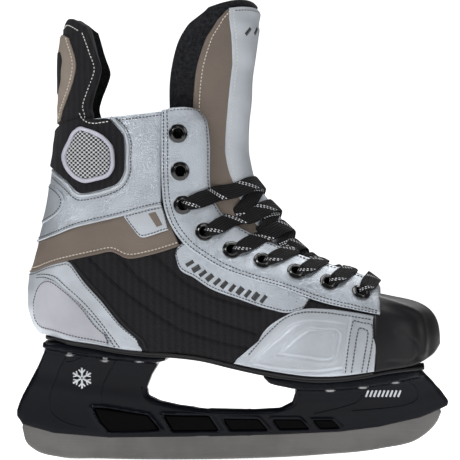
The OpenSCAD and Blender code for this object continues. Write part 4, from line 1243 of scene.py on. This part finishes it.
# ------------------------------------------------------------------ toe cap, soles and lining
CAP_RIDGE = [path(points, 60) for points in (
    [(99, 112.5), (107, 110.3), (116, 107.3), (124, 104), (129, 100.5), (131.4, 92.5), (132.5, 83), (131.5, 74)],
    [(113, 89.5), (121, 86), (127, 81.5), (129, 76), (126, 71), (108, 69)])]
cap_foot = curve([(97, 61.8), (108, 63.8), (118, 65.2), (126, 67), (133, 70), (139, 74.5), (143, 80)])


def cap_point(u, v, off):
    """A blunt nose in plan, u round it and v up it, on a foot line that rises towards the toe."""
    side = np.cos(v) ** 0.42
    reach = np.cos(u) ** 0.8
    x = NOSE_START + (NOSE_LENGTH + off) * reach * side
    y = np.sign(np.sin(u)) * (47 + off) * np.abs(np.sin(u)) ** 0.85 * side
    foot = cap_foot(NOSE_START + NOSE_LENGTH * reach)
    crown = 115 - 0.15 * (x - NOSE_START)
    return np.stack([x, bend(x) + y, foot + (crown + off - foot) * np.sin(v) ** 0.7], -1)


def make_toe_cap():
    """The moulded cap: its top and side faces meet at a soft ridge, with an oval facet low on the side."""
    u, v = np.linspace(-1, 1, 130), np.linspace(0, 1, 74)
    u = np.sign(u) * np.abs(u) ** 1.2 * math.pi / 2 * 0.9995
    U, V = np.meshgrid(u, v ** 1.25 * math.radians(88.5), indexing="ij")
    base = cap_point(U, V, 0)
    flat = base[..., [0, 2]]
    ridge, facet = (distance_to(flat, line) for line in CAP_RIDGE)
    off = (0.8 * np.exp(-(ridge / 2.2) ** 2) - 0.5 * np.exp(-((ridge - 4.0) / 2.5) ** 2)
           - 0.35 * np.exp(-(facet / 1.0) ** 2))
    edge = (math.pi / 2 - np.abs(U)) * NOSE_LENGTH
    off = off * smooth(edge / 5) - np.minimum(rounded(edge, 1.0), 0.9)
    piece("toe_cap_shell", wall(cap_point(U, V, off), cap_point(U, V, -2.6)), CAP_BLACK,
          stands_for=["toe_cap"])


def plate(margin, top, thick, x0, x1, radius, n=110, m=30, crown=0.0):
    """A shaped sheet under the foot: the sole's outline drawn in by margin, top above the sole line."""
    x = x0 + spread(x1 - x0, n) * (x1 - x0)
    j = 2 * spread(70.0, m) - 1
    X, J = np.meshgrid(x, j, indexing="ij")
    d = np.maximum(X + 130 - margin, 0)
    heel = np.where(d < HEEL_RADIUS, np.sqrt(np.maximum(1 - (1 - d / HEEL_RADIUS) ** 2, 0.02)), 1)
    nose = np.sqrt(np.maximum(1 - np.maximum((X - NOSE_START) / (NOSE_LENGTH - margin), 0) ** 2.4, 0.02))
    wide = (low_half(X) - margin) * heel * nose
    edge = (1 - np.abs(J)) * wide
    drop = np.minimum(rounded(edge, radius), thick * 0.45)
    y = bend(X) + J * wide
    z = sole_z(X) + top + crown * (J * J - 0.4)
    return wall(np.stack([X, y, z - drop], -1), np.stack([X, y, z - thick + drop], -1))


def make_soles():
    piece("outsole_plate", plate(1, -0.8, 2.4, -129, 132, 0.8), SOLE_BLACK, stands_for=["outsole"])
    piece("inner_board", plate(11, 2.4, 2.0, -118, 126, 0.6), BOARD, stands_for=["insole_board"])
    piece("contoured_footbed", plate(12, 9, 3.6, -116, 124, 1.4, crown=1.6), LINING,
          stands_for=["footbed"], slot="footbed_grey")
    for word, side in SIDES.items():
        line = [(-122, 83.8), (-110, 81.3), (-95, 79.3), (-76, 76), (-59, 74.2), (-37, 73), (-20, 71),
                (2, 66.2), (21, 62.2), (41, 59.2), (55, 57.9), (69, 57.9), (84, 59.2), (97, 61.5)]
        piece(f"sole_rand_{word}", piping(line, side, 0.3, 0.85, 220), CAP_BLACK)


LINING_LOW = [at_back(87), (-129, 87.5), (-122, 86), (-110, 83.5), (-96, 81.5), (-76, 78.5), (-58, 77),
              (-41, 76), (-24, 74), (-7, 70.5), (10, 67), (27, 64), (44, 61.5), (61, 60), (78, 61),
              (94, 63.5)]
LINING_UP = [at_back(222), (-115, 226.5), (-106, 229.5), (-92, 231.5), (-76, 234), (-58, 236), (-45.5, 237),
             (-45, 215), (-45, 190), (-38, 163), (-20, 141.5), (2, 129.5), (26, 122), (50, 113.5),
             (71, 107.5), (94, 101.5)]


def lining_relief(grid):
    """Padding that swells below the cuff and dips at quilting lines."""
    a, z = grid[..., 0], grid[..., 1]
    return 0.5 * np.sin(z * 0.11 + a * 0.03) + 0.25 * np.sin(a * 0.15)


def make_lining():
    """The padded lining: a thick sheet inside the upper, with rounded edges and a slow swell."""
    top, thick = -1.75, 6.0
    panel = Panel(LINING_LOW, LINING_UP, 150, 70)
    off = np.minimum(rounded(panel.edge, 2.6), 2.5)
    relief = lining_relief(panel.grid) * smooth(panel.edge / 6)
    a, z = panel.grid[..., 0], panel.grid[..., 1]
    for word, side in SIDES.items():
        shape = wall(skin(a, z, side, top - off * 0.8), skin(a, z, side, top - thick + off + relief))
        piece(f"padded_lining_{word}", shape, LINING, stands_for=[f"lining_{word}"])


def make_back_stay():
    """The oval patch over the back seam, u round the heel and t up it, with its stitch row."""
    reach, middle = 31.5, 176
    U, T = np.meshgrid((2 * spread(25.0, 40) - 1) * reach, spread(25.0, 36), indexing="ij")
    half = 14.0 * np.sqrt(np.maximum(1 - (U / 32.0) ** 2, 0.03))
    z = middle + (2 * T - 1) * half
    edge = np.minimum(np.minimum(T, 1 - T) * 2 * half, reach - np.abs(U))
    off = 1.5 - np.minimum(rounded(edge, 0.8), 0.8)
    piece("back_stay_patch", wall(skin(U, z, MEDIAL, off), skin(U, z, MEDIAL, 0.4)), SILVER,
          stands_for=["back_stay"])
    turn = np.linspace(0, math.tau, 160)
    oval = np.stack([29.3 * np.cos(turn), middle + 12.0 * np.sin(turn)], -1)
    sew("dark", skin_line(oval, MEDIAL, 1.62), spacing=2.3)


# ------------------------------------------------------------------ runner
BLADE_TOP = [(-145.2, 24), (-123, 18.4), (-85, 15.4), (-22, 16.4), (33, 17.9), (74, 19.9), (101, 23.4),
             (129, 29.9), (143, 35)]
BLADE_LOW = [(-145.6, 21), (-142.5, 10.8), (-136, 5.4), (-119.5, 1), (-91.5, 0.1), (1.5, 0.3), (60.5, 3.2),
             (101.5, 7.6), (129, 15), (141, 26.5), (143.8, 33)]


def make_runner():
    """The ground steel runner: 3 mm thick, with small bevels along the working edge."""
    low, up = path(BLADE_LOW, 260), path(BLADE_TOP, 260)
    t = spread(14.0, 18)
    side_view = low[:, None] + (up - low)[:, None] * t[None, :, None]
    tall = np.linalg.norm(up - low, axis=1)[:, None]
    reach = run_of(low)
    edge = np.minimum(t[None, :] * tall, np.minimum(reach, reach[-1] - reach)[:, None])
    y = 1.5 - 0.45 * np.clip(1 - edge / 0.6, 0, 1)
    place = lambda sign: np.stack([side_view[..., 0], sign * y, side_view[..., 1]], -1)
    piece("ground_runner", wall(place(LATERAL), place(MEDIAL)), STEEL, stands_for=["runner"])


# ------------------------------------------------------------------ holder
HEEL_SIDE = [(-145, 24), (-149, 29.5), (-149, 33.5), (-147, 39.5), (-140.3, 52), (-133.3, 65), (-129.3, 74),
             (-128.5, 81.4), (-116, 80.6), (-95, 77.8), (-76, 74.2), (-59, 72.5), (-44.5, 71.4),
             (-44.8, 68.6), (-50, 67.6), (-55.3, 58.8), (-58.8, 50), (-58.2, 44), (-50, 40), (-36.5, 37),
             (-15.5, 34.5), (12, 34), (12, 17), (-22, 16), (-85, 15), (-123, 18)]
TOE_SIDE = [(22, 59), (22.5, 57), (27, 52.8), (38.5, 50.8), (43.3, 49.5), (43.8, 46.3), (41.5, 39.5),
            (33, 35.2), (12, 34), (-15.5, 34.5), (-15.5, 16.2), (33, 17.5), (74, 19.5), (101, 23),
            (129, 29.5), (143, 35), (148, 37.5), (148.8, 40.5), (143, 48.5), (131.5, 60), (129, 63.6),
            (108, 61.6), (88, 58.2), (69, 56), (55, 56), (41, 57.4)]
POCKETS = [
    [(-96, 35.5), (-85, 34.8), (-58, 30.2), (-49.5, 20), (-85, 19), (-92, 27)],
    [(-47.5, 30.5), (-16, 30), (-9, 19.8), (-41, 19.2)],
    [(-6.5, 28), (18, 27.8), (24.5, 20.4), (-1, 20)],
    [(27.5, 27.5), (47, 27.5), (53, 21.4), (33, 21)],
    [(55.5, 27.2), (69, 27.2), (74.5, 22), (60.5, 21.6)]]
heel_under = curve([(-150, 80), (-128, 77.8), (-112, 75), (-98, 72.9), (-85, 71.2), (-67, 69.3),
                    (-44, 67.5)])
toe_under = curve([(20, 56), (38, 51), (54, 50), (68, 50.2), (90, 52.1), (112, 55.4), (122, 57.6),
                   (150, 64)])
heel_spread = curve([(-60, 6.0), (-30, 6.4), (-12, 7.6), (-5, 9.8), (-1.8, 13), (-0.8, 20), (0, 34),
                     (20, 60)])
toe_spread = curve([(-60, 6.0), (-20, 6.4), (-9, 8.0), (-4, 11), (-1.8, 15), (-0.8, 24), (0, 42), (20, 70)])


def inside(px, pz, polygon):
    """Signed distance in the side view to a closed outline, negative inside it."""
    polygon = np.array(polygon, float)
    ring = np.concatenate([polygon, polygon[:1]])
    far = distance_to(np.stack([px, pz], -1), ring)
    crossings = np.zeros(px.shape, int)
    for a, b in zip(ring[:-1], ring[1:]):
        spans = (a[1] > pz) != (b[1] > pz)
        with np.errstate(divide="ignore", invalid="ignore"):
            at = a[0] + (pz - a[1]) * (b[0] - a[0]) / (b[1] - a[1])
        crossings += spans & (px < at)
    return np.where(crossings % 2 == 1, -far, far)


def soft_min(a, b, k):
    h = np.clip(0.5 + 0.5 * (b - a) / k, 0, 1)
    return b + (a - b) * h - k * h * (1 - h)


def soft_max(a, b, k):
    return -soft_min(-a, -b, k)


def capsule_plan(x, y, stops):
    """Distance in plan to a bar through (x, radius) stops on the middle line."""
    best = np.full(x.shape, 1e9)
    for (x0, r0), (x1, r1) in zip(stops[:-1], stops[1:]):
        t = np.clip((x - x0) / (x1 - x0), 0, 1)
        best = np.minimum(best, np.hypot(x - x0 - t * (x1 - x0), y) - (r0 + (r1 - r0) * t))
    return best


def holder_field(x, y, z):
    """Negative inside the moulded holder: side outlines cut by a thickness that grows into the flanges."""
    thick = np.abs(y)
    parts = []
    for outline, widen, under, plan in (
            (HEEL_SIDE, heel_spread, heel_under, [(-117, 29), (-62, 29), (-51, 26)]),
            (TOE_SIDE, toe_spread, toe_under, [(42, 31), (75, 39), (104, 30), (119, 20)])):
        outside = inside(x, z, outline)
        wide = widen(z - under(x))
        flange = soft_max(outside, (thick - wide) * 0.42, 2.2)
        flange = soft_max(flange, capsule_plan(x, y - bend(x), plan), 2.0)
        rail = soft_max(outside, (thick - np.minimum(wide, 9.0)) * 0.9, 2.2)
        parts.append(soft_min(flange, rail, 1.5))
    return soft_min(*parts, 2.0)


def pocket_field(x, z):
    return np.minimum.reduce([inside(x, z, outline) for outline in POCKETS])


def surface_nets(field, low, high, step):
    """Quads over a field's zero surface: one point in each cell of a box that the surface crosses."""
    axes = [np.arange(a, b + s, s) for a, b, s in zip(low, high, step)]
    X, Y, Z = np.meshgrid(*axes, indexing="ij")
    value = field(X, Y, Z)
    sign = value < 0
    cells = tuple(n - 1 for n in value.shape)
    total, weight = np.zeros((*cells, 3)), np.zeros(cells)
    corners = [(i, j, k) for i in (0, 1) for j in (0, 1) for k in (0, 1)]
    cut = lambda c: tuple(slice(o, o + n) for o, n in zip(c, cells))
    for first in corners:
        for axis in range(3):
            if first[axis]:
                continue
            second = tuple(o + (axis == n) for n, o in enumerate(first))
            a, b = value[cut(first)], value[cut(second)]
            hit = sign[cut(first)] != sign[cut(second)]
            t = np.where(hit, a / np.where(hit, a - b, 1), 0)
            for n in range(3):
                total[..., n] += hit * (first[n] + (t if n == axis else 0))
            weight += hit
    used = weight > 0
    index = np.full(cells, -1)
    index[used] = np.arange(used.sum())
    corner = np.stack(np.nonzero(used), -1)
    points = np.array(low) + (corner + total[used] / weight[used][:, None]) * np.array(step)
    faces = []
    for axis in range(3):
        p, q = (axis + 1) % 3, (axis + 2) % 3
        size = [n - 1 if n == axis else n for n in range(3)]
        inner = [slice(1, cells[n]) if n != axis else slice(0, cells[n]) for n in range(3)]
        a = sign[tuple(inner)]
        shifted = [slice(s.start + (n == axis), s.stop + (n == axis)) for n, s in enumerate(inner)]
        b = sign[tuple(shifted)]
        for wanted, flip in ((a & ~b, False), (~a & b, True)):
            at = np.stack(np.nonzero(wanted), -1)
            at[:, p] += 1
            at[:, q] += 1
            quad = []
            for dp, dq in ((1, 1), (0, 1), (0, 0), (1, 0)):
                c = at.copy()
                c[:, p] -= dp
                c[:, q] -= dq
                quad.append(index[c[:, 0], c[:, 1], c[:, 2]])
            quad = np.stack(quad, -1)
            faces.append(quad[:, ::-1] if flip else quad)
    return points, np.concatenate(faces)


def settle(points, field, rounds=4, d=0.15):
    """Move points onto the field's zero surface by short steps along its gradient."""
    for _ in range(rounds):
        x, y, z = points.T
        here = field(x, y, z)
        ahead = [field(x + d, y, z), field(x, y + d, z), field(x, y, z + d)]
        slope = np.stack([(value - here) / d for value in ahead], -1)
        step = here / np.maximum((slope ** 2).sum(1), 0.15)
        points = points - np.clip(step, -0.7, 0.7)[:, None] * slope
    return points


def make_holder():
    """The moulded holder, with recessed pockets on both sides of its rail."""
    def field(x, y, z):
        body = holder_field(x, y, z)
        near = pocket_field(x, z)
        rim = 0.45 * np.exp(-((near - 0.9) / 0.7) ** 2) * (np.abs(y) > 3)
        recess = soft_max(near, 2.8 - np.abs(y), 0.8)
        return soft_max(body - rim, -recess, 0.8)
    points, faces = surface_nets(field, (-151, -41, 13), (151, 43, 82), (1.25, 1.25, 1.25))
    points = settle(points, field)
    piece("moulded_holder", (points, outward(points, faces)), HOLDER_BLACK, stands_for=["holder"])


def make_pocket_shade_floors():
    """Black sheets deep in the holder's pockets, far darker than the holder's own plastic: painted shade for the
    recesses.
    """
    shapes = []
    for outline in POCKETS:
        points = np.array(outline, float)
        half = len(points) // 2
        low, up = path(points[half:][::-1], 24), path(points[:half], 24)
        t = np.linspace(0, 1, 10)
        flat = low[:, None] + (up - low)[:, None] * t[None, :, None]
        for side in SIDES.values():
            place = lambda y: np.stack([flat[..., 0], np.full(flat.shape[:2], side * y), flat[..., 1]], -1)
            shapes.append(wall(place(4.6), place(2.0)))
    # the darker pocket sheets are painted shade in the holder's recesses
    piece("pocket_shade_floors", joined(shapes), POCKET_SHADE_BLACK)


def holder_bead(points, side, radius, sink=0.2, count=90):
    """A thin bead along a side-view line on the holder's side, found by stepping in from outside."""
    line = path(points, count)
    y = np.full(count, 44.0)
    for _ in range(60):
        y = y - np.clip(holder_field(line[:, 0], side * y, line[:, 1]), -1, 1) * 0.8
    y = np.convolve(np.pad(y, 2, mode="edge"), np.ones(5) / 5, "valid")
    centre = np.stack([line[:, 0], side * (y - sink), line[:, 1]], -1)
    return bead(centre, np.array([0.0, side, 0.0]) + 0 * centre, ROUND * radius)


SNOWFLAKE = (-103.5, 56)


def make_holder_marks():
    """Mould lines, embossed outlines on the toe tower, and the made-up snowflake and slanted bars."""
    lines = [
        [(-112.5, 74.5), (-115.5, 68), (-119, 61.5), (-121.5, 54.5), (-124.5, 47.5), (-126, 42), (-126, 37.5),
         (-125.5, 33), (-122.5, 29.7), (-117.5, 26.2), (-110.5, 23.5), (-100.5, 21.5)],
        [(-79, 70.5), (-81.5, 65), (-86, 57), (-88.5, 51.7), (-89.7, 45.5), (-90, 38.6)],
        [(-111, 75), (-97, 72.4), (-103, 70.3), (-110, 67.5), (-114, 66.9)],
        [(120.5, 55.5), (124.5, 51.8), (127.5, 47), (127.8, 43.5), (126, 40.7), (120.5, 38.3), (110, 36.2),
         (96.5, 34.8), (82.5, 33.8)],
        [(89.5, 44.8), (87, 40.7), (79, 37.2), (69, 34.5), (56.5, 31.7)],
        [(-62, 50), (-61.5, 44), (-57, 39.5), (-48, 36.5), (-34, 33.8), (-15, 31.9), (12, 31.4), (31, 32.4),
         (44.5, 38.5), (46.8, 46)]]
    for word, side in SIDES.items():
        beads = [holder_bead(line, side, 0.6, 0.25) for line in lines]
        piece(f"holder_mould_lines_{word}", joined(beads), HOLDER_BLACK)
        arms = []
        for turn in np.radians(90 + 60 * np.arange(6)):
            c, s = math.cos(turn), math.sin(turn)
            spot = lambda r, w: (SNOWFLAKE[0] + r * c - w * s, SNOWFLAKE[1] + r * s + w * c)
            arms.append(holder_bead([spot(0.6, 0), spot(3.6, 0), spot(7.2, 0)], side, 0.75, 0.3, 12))
            for way in (-1, 1):
                twig = [spot(3.4, 0), spot(4.6, way * 1.1), spot(5.8, way * 2.2)]
                arms.append(holder_bead(twig, side, 0.55, 0.25, 8))
        piece(f"snowflake_mark_{word}", joined(arms), PRINT_WHITE)
        bars = [holder_bead([(x, 43.6), (x + 0.9, 45.9), (x + 1.8, 48.2)], side, 0.8, 0.4, 10)
                for x in np.linspace(92, 114, 9)]
        piece(f"slanted_bars_{word}", joined(bars), PRINT_WHITE)


def make_tongue_marks():
    """Five printed black bars near the top of the tongue, in place of a name."""
    bars = []
    for turn in (-0.5, -0.25, 0.0, 0.25, 0.5):
        v = np.linspace(9.15, 9.45, 8)
        u = turn + np.linspace(-0.05, 0.05, 8)
        bars.append(printed_bar(*tongue_line(v, u, 0.62), 1.3))
    piece("tongue_printed_bars", joined(bars), PRINT_BLACK, "tongue_top")


def make_strip_marks():
    """A row of slanted black bars printed along the side strip, in place of a name."""
    line = path([(-29, 137), (-20, 129.8), (-8, 122.8), (12, 115.2), (30, 109)], 400)
    along = unit(np.gradient(line, axis=0))
    up = np.stack([-along[:, 1], along[:, 0]], -1)
    climb = np.linspace(-1, 1, 8)[:, None]
    for word, side in SIDES.items():
        bars = []
        for k, start in enumerate(range(16, 385, 34)):
            heart = line[start] + along[start] * climb + up[start] * climb * 2.7
            bars.append(printed_bar(*skin_line(unroll(heart), side, 1.75), 1.9 if k % 2 else 1.3))
        piece(f"printed_bars_{word}", joined(bars), PRINT_BLACK)


def stage_turned(name, profile, strength):
    """A glowing white surface turned round the z axis from an (r, z) profile in metres."""
    r, z = path(profile, 40).T
    turn = np.linspace(0, math.tau, 96, endpoint=False)[:, None]
    points = np.stack([r * np.cos(turn), r * np.sin(turn), z + 0 * turn], -1).reshape(-1, 3)
    faces = grid_faces(len(turn), len(r), around=True)
    mesh = bpy.data.meshes.new(name)
    mesh.from_pydata(points.tolist(), [], faces.tolist())
    mesh.polygons.foreach_set("use_smooth", np.full(len(faces), True))
    f = Finish(f"{name}_white", Roughness=0.9)
    f.colour(f.mix(f.noise(3, 2), (0.86, 0.86, 0.86), (0.90, 0.90, 0.90)))
    f.set(f.shader.inputs["Emission Color"], (1.0, 1.0, 1.0))
    f.set(f.shader.inputs["Emission Strength"], strength)
    mesh.materials.append(f.material)
    made = bpy.data.objects.new(name, mesh)
    bpy.context.collection.objects.link(made)
    made.location = (0, 0, -0.002)
    return made


def make_floor():
    """A white floor, and round it a white bowl that the camera sees but that throws no light."""
    stage_turned("floor", [(0.001, 0), (0.5, 0), (1.0, 0), (1.6, 0)], 0.8)
    profile = [(1.5, -0.002), (2.6, -0.002), (3.0, 0.08), (3.4, 0.5), (3.6, 1.4), (3.6, 4.5)]
    bowl = stage_turned("backdrop", profile, 1.0)
    bowl.visible_diffuse = bowl.visible_glossy = bowl.visible_transmission = bowl.visible_shadow = False


def make_light():
    world = bpy.data.worlds.new("soft_sky")
    world.use_nodes = True
    world.node_tree.nodes["Background"].inputs["Color"].default_value = (1, 1, 1, 1)
    world.node_tree.nodes["Background"].inputs["Strength"].default_value = 0.11
    bpy.context.scene.world = world
    lights = [add_light("key", (-1.2, -1.1, 1.5), 0.6, 21), add_light("fill", (1.7, -1.2, 0.8), 0.7, 6),
              add_light("top", (0.1, -0.1, 1.7), 0.9, 12), add_light("back", (0.4, 1.1, 1.2), 0.8, 8)]
    bpy.context.scene.view_settings.view_transform = "Standard"


def dress_cad_nodes():
    """The steel and plastic parts whose CAD shape is right keep it and get their finish."""
    for node, material in (("blade_dowels", STEEL), ("blade_bolts", RIVET_STEEL),
                           ("heel_rivets", RIVET_STEEL), ("toe_rivets", RIVET_STEEL),
                           ("heel_counter", SOLE_BLACK)):
        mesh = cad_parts[node].data
        mesh.materials.clear()
        mesh.materials.append(material)


make_floor()
make_light()
set_camera()
dress_cad_nodes()
make_panels()
trim_panels()
make_piping()
make_facings()
make_eyelets()
trim_facings()
tongue = make_tongue()
guard = make_guard()
make_badges()
make_lace()
make_toe_cap()
make_soles()
make_lining()
make_back_stay()
make_runner()
make_holder()
make_pocket_shade_floors()
make_holder_marks()
make_strip_marks()
make_tongue_marks()
make_stitches()
for part in tongue:
    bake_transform(part)
for part in guard:
    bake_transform(part)
